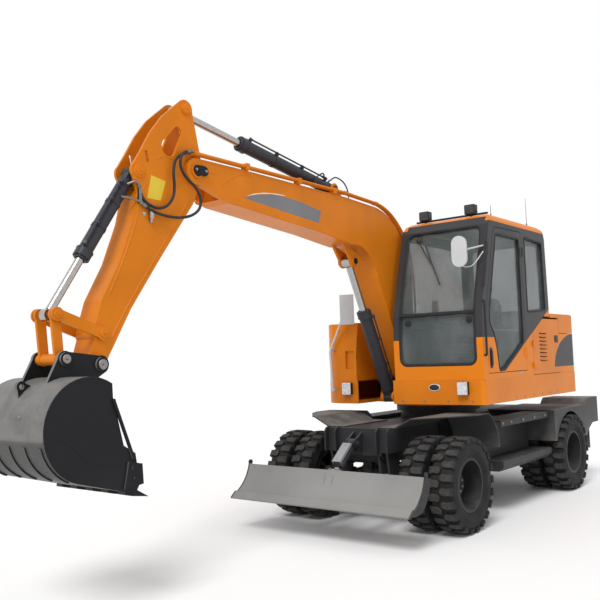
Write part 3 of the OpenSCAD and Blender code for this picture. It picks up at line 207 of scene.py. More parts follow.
sun_data = bpy.data.lights.new("soft_sun", "SUN")
sun_data.energy = 1.9
sun_data.angle = math.radians(24)
sun = bpy.data.objects.new("soft_sun", sun_data)
SUN_FROM = Vector((0.78, 0.30, 1.0))
sun.rotation_euler = SUN_FROM.to_track_quat("Z", "Y").to_euler()
bpy.context.scene.collection.objects.link(sun)

FLOOR_HALF = 40
floor_mesh = bpy.data.meshes.new("studio_floor")
corners = [(x * FLOOR_HALF, y * FLOOR_HALF, 0) for x, y in ((-1, -1), (1, -1), (1, 1), (-1, 1))]
floor_mesh.from_pydata(corners, [], [(0, 1, 2, 3)])
floor = bpy.data.objects.new("studio_floor", floor_mesh)
bpy.context.scene.collection.objects.link(floor)
floor_paint, ground = surface("studio_floor")[:2]
ground.inputs["Base Color"].default_value = tint(0.93, 0.93, 0.93)
ground.inputs["Roughness"].default_value = 0.95
floor_mesh.materials.append(floor_paint)


# Main frame, mudguards and side steps
# Welded plate in dark grey paint, dulled by road dust on its tops and near the ground. The
# mudguards' tops are made far paler, partly with dust and partly as a painted highlight.
# The steps and guards are bolted to the frame through their flanges.


def painted(name, colour, rough=0.42, coat=0.25, dust=0.5, dust_top=1.0, second=None, where=None):
    """Sprayed machine paint with faint waves, and dust that settles on tops and low parts."""
    material, shader, paint = surface(name)
    clean = paint.noise(1.7, 4.0).step(0.3, 0.7).mix(colour, scaled(colour, 0.86))
    if where is not None:
        clean = where(paint).mix(clean, second)
    low = 1 - paint.axis("Z").step(0.25, dust_top)
    settled = paint.facing_up().step(0.35, 0.95)
    drifts = 0.25 + 0.75 * paint.noise(7.5, 7.0, 0.66).step(0.24, 0.84)
    specks = paint.noise(46.0, 5.0, 0.7).step(0.60, 0.74)
    cover = ((settled * 0.60 + low * 0.6) * drifts * dust + specks * (0.12 * dust)).most(0.85)
    cover.mix(clean, tint(0.30, 0.288, 0.268)).drive(shader, "Base Color")
    (rough + 0.10 * (paint.noise(9.0, 4.0) - 0.5) + 0.38 * cover).drive(shader, "Roughness")
    shader.inputs["Coat Roughness"].default_value = 0.16
    shader.inputs["Specular IOR Level"].default_value = 0.11
    (coat * (1 - cover)).drive(shader, "Coat Weight")
    paint.noise(170.0, 2.0).bump(0.25, 0.0006).drive(shader, "Normal")
    return material


def ground_edges(shape, edge):
    """Rounds an object's sharp edges as a press or grinder would."""
    weld = shape.modifiers.new("weld", "WELD")
    weld.merge_threshold = 0.00002
    rounding = shape.modifiers.new("edges", "BEVEL")
    rounding.width = edge
    rounding.segments = 2
    rounding.limit_method = "ANGLE"
    rounding.angle_limit = math.radians(34)
    shading = shape.modifiers.new("shading", "WEIGHTED_NORMAL")
    shading.keep_sharp = True


def finish_node(name, material, edge=0.003):
    """Gives a CAD node its finish and rounded edges."""
    node = nodes[name]
    node.data.materials.clear()
    node.data.materials.append(material)
    if edge:
        ground_edges(node, edge)


grey_paint = painted("dark_grey_paint", tint(0.026, 0.027, 0.030), rough=0.46, coat=0.06, dust=0.28)
for name in ("chassis_frame", "side_steps"):
    finish_node(name, grey_paint)
# Heavy dust turns the decks' tops pale: partly real dust, partly a painted highlight of the sky.
deck_dust_and_highlight_paint = painted("deck_dust_and_painted_highlight", tint(0.052, 0.052, 0.054), rough=0.50, coat=0.05, dust=1.3)
finish_node("mudguards", deck_dust_and_highlight_paint)


def gathered(parts):
    """Several (vertices, faces) shapes as one."""
    vertices, faces = [], []
    for some, shapes in parts:
        first = len(vertices)
        vertices += some
        faces += [tuple(first + i for i in shape) for shape in shapes]
    return vertices, faces


def piece(name, parts, material, body, where=None):
    """A mesh piece of some parts that rides on a body, with smooth sides and crisp corners."""
    vertices, faces = gathered(parts)
    mesh = bpy.data.meshes.new(name)
    mesh.from_pydata([tuple(v) for v in vertices], [], faces)
    mesh.validate()
    tidy = bmesh.new()
    tidy.from_mesh(mesh)
    bmesh.ops.recalc_face_normals(tidy, faces=tidy.faces)
    tidy.to_mesh(mesh)
    tidy.free()
    mesh.materials.append(material)
    mesh.shade_smooth()
    mesh.set_sharp_from_angle(angle=math.radians(38))
    made = bpy.data.objects.new(name, mesh)
    bpy.context.scene.collection.objects.link(made)
    if where is not None:
        made.matrix_world = where
    if body:
        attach(made, body)
    return made


def skinned(rings, closed=False):
    """Rings of points with a skin between them, and a cap at each end unless closed."""
    count = len(rings[0])
    vertices = [Vector(p) for ring in rings for p in ring]
    faces = []
    for k in range(len(rings) if closed else len(rings) - 1):
        m = (k + 1) % len(rings)
        for i in range(count):
            j = (i + 1) % count
            faces.append((k * count + i, k * count + j, m * count + j, m * count + i))
    if not closed:
        last = (len(rings) - 1) * count
        faces += [tuple(range(count)), tuple(range(last, last + count))]
    return vertices, faces


def turns(count, phase=0.0):
    """Angles spaced evenly round a circle."""
    return [2 * math.pi * i / count + phase for i in range(count)]


def hoop(middle, one, two, count, phase=0.0):
    """Points round a circle or an oval, from its middle and two half axes."""
    return [middle + one * math.cos(a) + two * math.sin(a) for a in turns(count, phase)]


def turned_part(start, direction, profile, sides=20, phase=0.0):
    """A turned part along a direction, from a profile of (distance along, radius)."""
    direction = Vector(direction).normalized()
    side = direction.orthogonal().normalized()
    other = direction.cross(side)
    rings = [hoop(Vector(start) + direction * along, side * radius, other * radius, sides, phase)
             for along, radius in profile]
    return skinned(rings)


def hexagon_head(spot, direction, flats=0.019):
    """A hexagon head with a chamfered top on a round washer."""
    r = flats / math.sqrt(3)
    tall = flats * 0.5
    rim = r * 1.35
    washer = turned_part(spot, direction, ((-0.001, rim), (0.0015, rim), (0.0022, r * 1.28)), 18)
    head = turned_part(spot, direction, ((0.001, r), (tall * 0.8, r), (tall, r * 0.84)), 6)
    return gathered([washer, head])


def bare_metal(name, colour, rough, scratch=0.06):
    """Ground or plated steel with fine marks over it."""
    material, shader, steel = surface(name)
    shader.inputs["Metallic"].default_value = 1.0
    marks = steel.noise(60.0, 6.0, 0.75)
    marks.step(0.35, 0.75).mix(colour, scaled(colour, 0.72)).drive(shader, "Base Color")
    (rough + scratch * marks).drive(shader, "Roughness")
    marks.bump(0.1, 0.0003).drive(shader, "Normal")
    return material


bolt_steel = bare_metal("zinc_bolts", tint(0.30, 0.295, 0.28), 0.42)
STEP_FACE_Y, STEP_BOLT_Z, STEP_BOLTS_X = 0.955, 0.900, (-0.66, -0.36, -0.06, 0.24, 0.44)
heads = [hexagon_head(at(x, side * STEP_FACE_Y, STEP_BOLT_Z), (0, side, 0))
         for x in STEP_BOLTS_X for side in (1, -1)]
piece("step_bolts", heads, bolt_steel, "chassis")

# Grip ribs pressed into the steps' tops, each section as (distance out, half width, height)
RIB_Z, RIB_FIRST_X, RIB_PITCH, RIB_COUNT = 0.5352, -0.740, 0.056, 22
RIB_SECTIONS = ((0.700, 0.004, 0.001), (0.710, 0.009, 0.005), (0.940, 0.009, 0.005),
                (0.950, 0.004, 0.001))
ribs = []
for side in (1, -1):
    for i in range(RIB_COUNT):
        x = RIB_FIRST_X + i * RIB_PITCH
        rings = []
        for y, wide, tall in RIB_SECTIONS:
            corners = ((-wide, 0), (wide, 0), (wide * 0.5, tall), (-wide * 0.5, tall))
            rings.append([at(x + a, side * y, RIB_Z + b) for a, b in corners])
        ribs.append(skinned(rings))
piece("step_grip_ribs", ribs, grey_paint, "chassis")


# Axles, knuckles and steering
# Castings and forgings sprayed black, and a ground steel rod between the knuckles. The
# covers of the axle housings are held by a ring of screws.

black_paint = painted("black_axle_paint", tint(0.014, 0.014, 0.016), rough=0.5, coat=0.08,
                      dust=0.28)
for name in ("front_axle", "rear_axle", "knuckle_left", "knuckle_right"):
    finish_node(name, black_paint)
chrome = bare_metal("hard_chrome", tint(0.46, 0.45, 0.44), 0.18)
for name in ("steering", "boom_cylinder", "arm_cylinder", "bucket_cylinder", "blade_cylinder"):
    finish_node(name + "_rod", chrome, 0.002)

AXLE_X, WHEEL_Y, WHEEL_Z = 1.320, 0.780, 0.430
COVER_RING, COVER_FACE, COVER_SCREWS = 0.113, 0.116, 10


def ring_of_heads(x, y, radius, count, side, flats, phase=0.0):
    """Hexagon heads in a ring about an axle's line, on the side that they face."""
    across, up = Vector((radius, 0, 0)), Vector((0, 0, radius))
    spots = hoop(at(x, side * y, WHEEL_Z), across, up, count, phase)
    return [hexagon_head(spot, (0, side, 0), flats) for spot in spots]


heads = []
for end in (1, -1):
    for side in (1, -1):
        heads += ring_of_heads(end * AXLE_X, COVER_FACE, COVER_RING, COVER_SCREWS, side, 0.017)
piece("axle_cover_screws", heads, bolt_steel, "chassis")


# Wheels
# Two rims on one hub at each end of an axle, in dull dark paint. Wheel nuts hold the
# rims to the hub's disc, and a ring of screws closes the hub.

rim_paint = painted("rim_paint", tint(0.018, 0.018, 0.020), rough=0.5, coat=0.08, dust=0.22)
ENDS = {"front_left": (AXLE_X, 1), "front_right": (AXLE_X, -1),
        "rear_left": (-AXLE_X, 1), "rear_right": (-AXLE_X, -1)}
# Wheel nuts and hub screws, each ring as (radius, count, distance out, width over flats)
HUB_RINGS = ((0.182, 10, 0.014, 0.030), (0.072, 8, 0.118, 0.017))
for end, (x, side) in ENDS.items():
    finish_node("wheels_" + end, rim_paint)
    heads = []
    for radius, count, out, flats in HUB_RINGS:
        heads += ring_of_heads(x, WHEEL_Y + out, radius, count, side, flats, math.pi / count)
    piece("wheel_nuts_" + end, heads, bolt_steel, "wheel_" + end)


# Tyres
# Cross-ply tyres of the common 8.25-16 size, moulded in black rubber, two on each hub.
# Heavy lugs stand in two staggered rows and run down over the shoulders.

TYRE_R, TREAD_HALF, TWIN_HALF = 0.430, 0.1175, 0.150
LUG_TALL, LUG_COUNT, TURN_STEPS = 0.027, 22, 88
# Half section from the bead to the middle of the tread, each (radius, distance from the middle)
SECTION = [(0.2310, 0.0825), (0.2470, 0.0828), (0.2500, 0.0935), (0.2620, 0.0985), (0.2680, 0.1020),
           (0.2720, 0.1020), (0.2740, 0.1045), (0.2950, 0.1105), (0.3050, 0.1122), (0.3080, 0.1140),
           (0.3150, 0.1145), (0.3180, 0.1130), (0.3400, 0.1140), (0.3620, 0.1125), (0.3800, 0.1080),
           (0.3930, 0.0990), (0.4000, 0.0850), (0.4030, 0.0500), (0.4035, 0.0)]
# Outline of a lug, each (distance round the tread, distance from the middle)
LUG = [(-0.033, 0.1172), (-0.031, 0.083), (-0.036, 0.054), (-0.029, 0.016), (-0.012, 0.003),
       (0.018, 0.006), (0.030, 0.024), (0.025, 0.056), (0.031, 0.084), (0.034, 0.1172)]
# A lug's rings from its root up, each (growth of the outline, height over the casing)
LUG_RINGS = ((1.18, -0.012), (1.07, LUG_TALL - 0.008), (1.02, LUG_TALL - 0.003), (0.92, LUG_TALL))
SHOULDER, SHOULDER_ROOT, CROWN_ROOT = 0.110, 0.380, 0.397


def lug_point(s, y, grow, height, middle, row):
    """A point of a lug as (radius, angle, distance from the tyre's middle)."""
    on_shoulder = y > SHOULDER
    crown = 0.009 * max(0.0, (y - 0.070) / 0.0475) ** 2
    reach = min(y if on_shoulder else y * (0.5 + 0.5 * grow), TREAD_HALF)
    root = SHOULDER_ROOT if on_shoulder else CROWN_ROOT
    r = TYRE_R - LUG_TALL + height - crown if height > 0 else root
    draft = 0.004 if grow < 1 and on_shoulder else 0.0
    return r, middle + row * s * grow / TYRE_R, row * (reach - draft)


def tyre_shape(offset, phase):
    """One tyre about Y, with its middle at the given offset."""
    loop = SECTION + [(r, -y) for r, y in reversed(SECTION[:-1])]
    parts = [skinned([[(r * math.cos(a), y + offset, r * math.sin(a)) for a in turns(TURN_STEPS)]
                      for r, y in loop], closed=True)]
    for row, stagger in ((1, 0.0), (-1, 0.5)):
        for n in range(LUG_COUNT):
            middle = 2 * math.pi * (n + stagger) / LUG_COUNT + phase
            rings = []
            for grow, height in LUG_RINGS:
                spots = [lug_point(s, y, grow, height, middle, row) for s, y in LUG]
                rings.append([(r * math.cos(a), offset + out, r * math.sin(a))
                              for r, a, out in spots])
            parts.append(skinned(rings))
    return gathered(parts)


rubber_material, shader, rubber = surface("tyre_rubber")
x, z = rubber.axis("X"), rubber.axis("Z")
radius = (x * x + z * z).root()
worn = radius.step(0.414, 0.429) * (0.35 + 0.5 * rubber.noise(38.0, 5.0, 0.7).step(0.35, 0.65))
dusty = rubber.noise(7.0, 5.0, 0.6).step(0.40, 0.72) * 0.35 + radius.step(0.36, 0.41) * 0.15
black = dusty.mix(tint(0.012, 0.012, 0.013), tint(0.042, 0.040, 0.037))
(0.7 * worn).mix(black, tint(0.085, 0.081, 0.076)).drive(shader, "Base Color")
(0.66 + 0.2 * rubber.noise(20.0, 4.0)).drive(shader, "Roughness")
shader.inputs["Specular IOR Level"].default_value = 0.25
grain = rubber.noise(260.0, 3.0) + 0.6 * rubber.noise(60.0, 4.0)
grain.bump(0.35, 0.0012).drive(shader, "Normal")
TWIN_PHASE = 0.11
for end, (x, side) in ENDS.items():
    turned_out = Matrix.Rotation(0 if side > 0 else math.pi, 4, "Z")
    middle = Matrix.Translation(at(x, side * WHEEL_Y, WHEEL_Z)) @ turned_out
    shape = gathered([tyre_shape(TWIN_HALF, 0.0), tyre_shape(-TWIN_HALF, TWIN_PHASE)])
    tyre = piece("lugged_tyres_" + end, [shape], rubber_material, "wheel_" + end, middle)
    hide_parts("tyres_" + end)


# Dozer blade
# A rolled plate with a cutting edge, worn to dusty bare steel, between dark painted end plates.
# The beam and the ears are welded to its back and stop there, so its front is one smooth
# sweep, and its ribs and end plates run out to nothing at the cutting edge.


def blade_ends(paint):
    """1 on the end plates, 0 between them."""
    return paint.axis("Y").size().above(0.974, 0.003)


blade_paint = painted("worn_blade_paint", tint(0.27, 0.268, 0.262), rough=0.46, coat=0.05,
                      dust=0.25, second=tint(0.024, 0.025, 0.027), where=blade_ends)
# The face's arc, its span in degrees below the level, and where the ribs start to taper
FACE_CENTRE, FACE_RADIUS, FACE_SPAN = at(2.4390, 0, 0.6909), 0.380, (14, 58)
RIB_ROOT, RIB_TAPER, RIB_END = 0.394, 50, 71.75
shape = bmesh.new()
shape.from_mesh(nodes["blade"].data)
bmesh.ops.remove_doubles(shape, verts=shape.verts, dist=0.00002)
for vertex in shape.verts:
    out = Vector((vertex.co.x - FACE_CENTRE.x, 0, vertex.co.z - FACE_CENTRE.z))
    turned = math.degrees(math.atan2(-out.z, -out.x))
    if out.length < FACE_RADIUS - 0.0005 and FACE_SPAN[0] < turned < FACE_SPAN[1]:
        vertex.co += out * (FACE_RADIUS / out.length - 1)
    elif out.length > RIB_ROOT + 0.002 and RIB_TAPER < turned < RIB_END + 1:
        left = min(1, max(0, (RIB_END - turned) / (RIB_END - RIB_TAPER)))
        vertex.co += out * ((RIB_ROOT + (out.length - RIB_ROOT) * left) / out.length - 1)
bmesh.ops.dissolve_degenerate(shape, edges=shape.edges, dist=0.0005)
shape.verts.index_update()
faces = [[vertex.index for vertex in face.verts] for face in shape.faces]
rolled = [vertex.co.copy() for vertex in shape.verts], faces
mouldboard = piece("blade_mouldboard", [rolled], blade_paint, "blade")
shape.free()
ground_edges(mouldboard, 0.003)
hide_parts("blade")

cylinder_paint = painted("cylinder_paint", tint(0.046, 0.047, 0.056), rough=0.36, coat=0.10,
                         dust=0.12)
for name in ("blade", "boom", "arm", "bucket"):
    finish_node(name + "_cylinder_tube", cylinder_paint, 0.004)


def cap_ring(spot, direction, radius, tall=0.008):
    """A retaining disc on a pin's end, with a chamfer and a greasing nipple in its middle."""
    edge = ((-0.002, radius), (tall - 0.003, radius), (tall, radius - 0.003))
    stem = ((-0.001, 0.008), (0.004, 0.008), (0.005, 0.005), (0.011, 0.005), (0.014, 0.003))
    nipple = [(tall + along, r) for along, r in stem]
    return gathered([turned_part(spot, direction, edge, 32),
                     turned_part(spot, direction, nipple, 12)])


# Upper body
# Pressed and welded steel panels in a warm orange, with a dark field sprayed round the
# rear corners. The skirt, lamps and plates are bolted on.

ORANGE, PATCH = tint(0.730, 0.208, 0.008), tint(0.040, 0.040, 0.045)
# The dark patch: the middle of its oval, the oval's half length and height, and where it starts
PATCH_X, PATCH_Z, PATCH_LONG, PATCH_TALL, PATCH_OUT = SLEW_X - 1.64, 1.425, 0.735, 0.385, 0.860


def rear_patch(paint):
    """1 inside a quarter of an oval at the body's rear corners."""
    along = (paint.axis("X") - PATCH_X) * (1 / PATCH_LONG)
    tall = (paint.axis("Z") - PATCH_Z) * (1 / PATCH_TALL)
    inside = 1 - (along * along + tall * tall).above(1.0, 0.006)
    return inside * paint.axis("Z").above(PATCH_Z) * paint.axis("Y").size().above(PATCH_OUT)


body_paint = painted("orange_body_paint", ORANGE, rough=0.34, coat=0.07, dust=0.08, dust_top=0.9,
                     second=PATCH, where=rear_patch)
for name in ("swing_frame", "counterweight", "engine_hood", "service_door", "right_housing"):
    finish_node(name, body_paint, 0.005)
finish_node("engine", black_paint)

BODY_LEFT, BODY_RIGHT, BODY_FRONT = 1.010, 0.990, 0.920


def rounded(width, height, radius, steps=5):
    """A rectangle with round corners about its middle."""
    points = []
    for cx, cy, start in ((1, 1, 0), (-1, 1, 90), (-1, -1, 180), (1, -1, 270)):
        middle = cx * (width / 2 - radius), cy * (height / 2 - radius)
        for i in range(steps + 1):
            a = math.radians(start + 90 * i / steps)
            points.append((middle[0] + radius * math.cos(a), middle[1] + radius * math.sin(a)))
    return points


def plate(outline, origin, across, up, thick, chamfer=0.0015):
    """A flat plate on its back, from an outline across and up, with a chamfered face."""
    across, up = Vector(across).normalized(), Vector(up).normalized()
    lift = across.cross(up)
    corners = [Vector(point) for point in outline]
    nexts = corners[1:] + corners[:1]
    turn = 1 if sum(a.x * b.y - b.x * a.y for a, b in zip(corners, nexts)) > 0 else -1
    inset = []
    for before, here, after in zip(corners[-1:] + corners[:-1], corners, nexts):
        one, two = (here - before).normalized(), (after - here).normalized()
        one, two = Vector((-one.y, one.x)), Vector((-two.y, two.x))
        inset.append(here + turn * (one + two) * (chamfer / max(0.3, 1 + one.dot(two))))
    levels = ((outline, -0.001), (outline, thick - chamfer), (inset, thick))
    return skinned([[Vector(origin) + across * p[0] + up * p[1] + lift * high for p in shape]
                    for shape, high in levels])


def block(middle, size, chamfer=0.004, axes=((1, 0, 0), (0, 1, 0), (0, 0, 1))):
    """A block with chamfered edges, turned to three axes."""
    long, wide, tall = (Vector(a).normalized() for a in axes)
    top, c = size[2] / 2, chamfer
    rings = []
    for high, shrink in ((-top, c), (-top + c, 0), (top - c, 0), (top, c)):
        w, h = size[0] / 2 - shrink, size[1] / 2 - shrink
        ring = ((w, h - c), (w - c, h), (c - w, h), (-w, h - c),
                (-w, c - h), (c - w, -h), (w - c, -h), (w, c - h))
        rings.append([Vector(middle) + long * a + wide * b + tall * high for a, b in ring])
    return skinned(rings)


LEFT, RIGHT, FORWARD, BACK, RISE = (0, 1, 0), (0, -1, 0), (1, 0, 0), (-1, 0, 0), (0, 0, 1)


def moulded(name, colour, rough=0.5, grain=0.0006, scale=420.0):
    """Moulded plastic or rubber with a fine grain and faint grey rubbed places."""
    material, shader, plastic = surface(name)
    shader.inputs["Specular IOR Level"].default_value = 0.3
    rubbed = plastic.noise(14.0, 5.0, 0.65).step(0.45, 0.75)
    rubbed.mix(colour, scaled(colour, 1.35, 0.012)).drive(shader, "Base Color")
    (rough + 0.12 * rubbed).drive(shader, "Roughness")
    plastic.noise(scale, 2.0).bump(0.3, grain).drive(shader, "Normal")
    return material


black_plastic = moulded("black_plastic", tint(0.016, 0.016, 0.018), 0.42)
seal_rubber = moulded("seal_rubber", tint(0.016, 0.016, 0.017), 0.62, 0.0004)

# Pressed lips over the louvres, and a dark screen behind them
LOUVRE_X, LOUVRE_LOW, LOUVRE_STEP, LOUVRE_HALF, LOUVRE_COUNT = -0.590, 1.508, 0.042, 0.100, 8
lips = []
for i in range(LOUVRE_COUNT):
    z = LOUVRE_LOW + i * LOUVRE_STEP
    rings = []
    for k in range(9):
        s = -1 + 2 * k / 8
        swell = math.sqrt(max(0.0, 1 - abs(s) ** 4))
        reach, drop = 0.011 * swell + 0.001, 0.010 * swell
        lip = ((-0.001, 0.020), (reach * 0.8, 0.014), (reach, 0.012 - drop),
               (reach - 0.003, 0.012 - drop), (-0.001, 0.009))
        rings.append([at(LOUVRE_X + s * LOUVRE_HALF, BODY_LEFT + out, z + up) for out, up in lip])
    lips.append(skinned(rings))
piece("service_door_louvres", lips, body_paint, "service_door")
screen = [block(at(LOUVRE_X, BODY_LEFT - 0.034, 1.663), (0.235, 0.008, 0.36), 0.002)]
for i in range(LOUVRE_COUNT - 1):
    wire = at(LOUVRE_X, BODY_LEFT - 0.029, LOUVRE_LOW + (i + 0.5) * LOUVRE_STEP)
    screen.append(block(wire, (0.225, 0.006, 0.004), 0.001))
piece("service_door_screen", screen, black_plastic, "service_door")

# Paddle latch in the door's recess
LATCH = at(-0.985, BODY_LEFT, 1.740)
latch = [plate(rounded(0.112, 0.082, 0.010), LATCH + Vector((0, -0.009, 0)), BACK, RISE, 0.011),
         plate(rounded(0.076, 0.050, 0.006), LATCH + Vector((0, 0.001, 0)), BACK, RISE, 0.006),
         turned_part(LATCH + Vector((0.040, 0.001, 0)), LEFT,
                     ((0, 0.008), (0.004, 0.008), (0.005, 0.006)), 16)]
piece("service_door_latch", latch, black_plastic, "service_door")

# Skirt screws and a bare plate
SKIRT_SCREW_Z, SKIRT_SCREW_FLATS = 1.150, 0.013
spots = [(at(-0.95 + 0.23 * i, y, SKIRT_SCREW_Z), away)
         for y, away in ((BODY_LEFT, LEFT), (-BODY_RIGHT, RIGHT)) for i in range(6)]
spots += [(at(BODY_FRONT, y, SKIRT_SCREW_Z), FORWARD) for y in (0.10, 0.36, 0.62, 0.88)]
heads = [hexagon_head(spot, away, SKIRT_SCREW_FLATS) for spot, away in spots]
piece("skirt_screws", heads, bolt_steel, "upper")
plate_paint = painted("bare_plate_paint", tint(0.34, 0.34, 0.35), rough=0.4, coat=0.1, dust=0.1)
bare_plate = plate(rounded(0.060, 0.034, 0.004), at(0.055, BODY_LEFT - 0.0005, 1.392), BACK, RISE,
                   0.002)
piece("blank_plate", [bare_plate], plate_paint, "upper")

# Blank oval on the skirt's front: a dark disc in a bright rim
OVAL_MIDDLE = at(BODY_FRONT, 0.474, 1.283)


def oval(width, height, steps=40):
    return [(width / 2 * math.cos(a), height / 2 * math.sin(a)) for a in turns(steps)]


bright_trim = bare_metal("bright_trim", tint(0.72, 0.72, 0.72), 0.22, 0.04)
piece("skirt_oval_rim", [plate(oval(0.128, 0.074), OVAL_MIDDLE, LEFT, RISE, 0.005, 0.002)],
      bright_trim, "upper")
piece("skirt_oval",
      [plate(oval(0.112, 0.058), OVAL_MIDDLE + Vector((0.004, 0, 0)), LEFT, RISE, 0.004, 0.002)],
      black_plastic, "upper")


# Lamps
# Two square work lamps stand on brackets at the roof's front, and two sit on the skirt.
# Each has a moulded housing with cooling ribs, a rim and a lens.

finish_node("lamps", black_plastic, 0.006)
lens_material, shader, lens = surface("ribbed_lens")
pale = lens.noise(30.0, 3.0).step(0.35, 0.7)
pale.mix(tint(0.72, 0.74, 0.76), tint(0.50, 0.52, 0.54)).drive(shader, "Base Color")
(0.10 + 0.06 * lens.noise(40.0)).drive(shader, "Roughness")
(lens.axis("Y") * 420.0).wave().bump(0.5, 0.0015).drive(shader, "Normal")
dark_lens = moulded("dark_lens", tint(0.050, 0.054, 0.058), 0.06, 0.0001, 90.0)
CAB_Y, ROOF_LAMP_Z, ROOF_LAMP_BACK, ROOF_LAMP_FACE = 0.515, 3.0825, 0.436, 0.510
rims, lenses = [], []
for y in (CAB_Y - 0.300, CAB_Y + 0.230):
    face = at(ROOF_LAMP_FACE, y, ROOF_LAMP_Z)
    rims.append(plate(rounded(0.116, 0.101, 0.012), face, LEFT, RISE, 0.006, 0.002))
    lenses.append(plate(rounded(0.096, 0.080, 0.008), face + Vector((0.005, 0, 0)), LEFT, RISE,
                        0.004, 0.002))
    rims += [block(at(ROOF_LAMP_BACK, y + k * 0.016, ROOF_LAMP_Z), (0.012, 0.004, 0.080), 0.0015)
             for k in range(-3, 4)]
    rims += [turned_part(at(0.475, y + s * 0.055, 3.060), (0, s, 0),
                         ((-0.002, 0.012), (0.006, 0.012), (0.008, 0.009)), 16) for s in (1, -1)]
piece("roof_lamp_trim", rims, black_plastic, "upper")
piece("roof_lamp_lenses", lenses, dark_lens, "upper")
SKIRT_LAMP_FACE, SKIRT_LAMP_Z = BODY_FRONT + 0.0503, 1.275
rims, lenses = [], []
for y in (0.800, -0.560):
    face = at(SKIRT_LAMP_FACE, y, SKIRT_LAMP_Z)
    rims.append(plate(rounded(0.108, 0.126, 0.010), face, LEFT, RISE, 0.004, 0.002))
    lenses.append(plate(rounded(0.092, 0.108, 0.007), face + Vector((0.003, 0, 0)), LEFT, RISE,
                        0.004, 0.002))
piece("skirt_lamp_trim", rims, bright_trim, "upper")
piece("skirt_lamp_lenses", lenses, lens_material, "upper")


# Cab
# A welded shell of dark grey steel sections. Its roof and the corners under the windscreen
# are sprayed orange, and every pane sits in a black rubber seal.

# Heights of the roof's edge, the screen's lower corners and the door pane's lowest point,
# and the sweep: a point on it and how much it falls towards the front
ROOF_EDGE_Z, CORNER_Z, DOOR_LOW_Z = 2.925, 1.760, 1.425
SWEEP_X, SWEEP_Z, SWEEP_SLOPE = 0.446, 1.416, 0.524
CAB_RIGHT, CAB_LEFT, CAB_FRONT, CAB_TOP = 0.026, 1.004, 0.888, 2.972


def cab_colours(paint):
    """1 where the cab is orange: its roof, its lower front and the side below the sweep."""
    x, y, z = paint.axis("X") - SLEW_X, paint.axis("Y"), paint.axis("Z")
    roof = z.above(ROOF_EDGE_Z)
    front = x.above(0.560) * (1 - z.above(CORNER_Z))
    over_sweep = (z + SWEEP_SLOPE * x).above(SWEEP_Z + SWEEP_SLOPE * SWEEP_X)
    side = 1 - over_sweep * z.above(DOOR_LOW_Z)
    rounded_edge = roof * (y.above(0.960) + (1 - y.above(0.070)))
    faces = x.above(CAB_FRONT) + y.above(CAB_LEFT) + (1 - y.above(CAB_RIGHT)) + z.above(CAB_TOP)
    return ((roof + front + side) * (faces + rounded_edge)).most(1.0)


cab_paint = painted("cab_paint", tint(0.046, 0.046, 0.050), rough=0.38, coat=0.07, dust=0.07,
                    second=ORANGE, where=cab_colours)
finish_node("cab_shell", cab_paint, 0.006)
finish_node("cab_door", cab_paint, 0.004)

glass_material, shader, pane = surface("tinted_glass")
film = pane.noise(2.6, 4.0).step(0.35, 0.7)
film.mix(tint(0.10, 0.125, 0.125), tint(0.17, 0.19, 0.19)).drive(shader, "Base Color")
(0.02 + 0.05 * film).drive(shader, "Roughness")
(0.40 + 0.10 * film).drive(shader, "Alpha")
for name in ("cab_glass", "door_glass"):
    finish_node(name, glass_material, 0)


def eased(points, steps=6, closed=False):
    """A smooth path that passes through the points."""
    points = [Vector(p) for p in points]
    count = len(points)
    path = []
    for i in range(count if closed else count - 1):
        spots = [i + k if not closed else (i + k) % count for k in (-1, 0, 1, 2)]
        a, b, c, d = (points[min(max(spot, 0), count - 1)] for spot in spots)
        for k in range(steps):
            t = k / steps
            path.append(0.5 * (2 * b + (c - a) * t + (2 * a - 5 * b + 4 * c - d) * t * t
                               + (3 * b - a - 3 * c + d) * t ** 3))
    if not closed:
        path.append(points[-1])
    return path


def softened(outline, radius, steps=4):
    """A closed outline with its corners rounded."""
    points = []
    for i in range(len(outline)):
        before, here, after = (Vector(outline[(i + k) % len(outline)]) for k in (-1, 0, 1))
        back, on = before - here, after - here
        cut = min(radius, back.length * 0.45, on.length * 0.45)
        one, two = here + back.normalized() * cut, here + on.normalized() * cut
        for k in range(steps + 1):
            t = k / steps
            points.append(one * (1 - t) ** 2 + here * (2 * t * (1 - t)) + two * t * t)
    return points


def bead(path, wide, tall, lift, closed=True, sides=8):
    """A rubber or weld bead of oval section along a path that lies on a surface."""
    lift = Vector(lift)
    rings = []
    for i, p in enumerate(path):
        before = path[i - 1] if i or closed else p
        after = path[(i + 1) % len(path)] if i < len(path) - 1 or closed else p
        ahead = (Vector(after) - Vector(before)).normalized()
        side = ahead.cross(lift).normalized()
        up = side.cross(ahead)
        rings.append(hoop(Vector(p), side * wide, up * tall, sides))
    return skinned(rings, closed)


# The cab's front and rear in profile, each as (height, x)
FRONT_LINE = ((1.355, 0.908), (1.700, 0.916), (2.010, 0.902), (2.890, 0.650), (2.971, 0.590))
REAR_LINE = ((1.991, -0.816), (2.860, -0.786))


def on_line(line, z):
    """X at height z on a line of (height, x) points."""
    for (z0, x0), (z1, x1) in zip(line, line[1:]):
        if z <= z1 or z1 == line[-1][0]:
            return x0 + (x1 - x0) * (z - z0) / (z1 - z0)


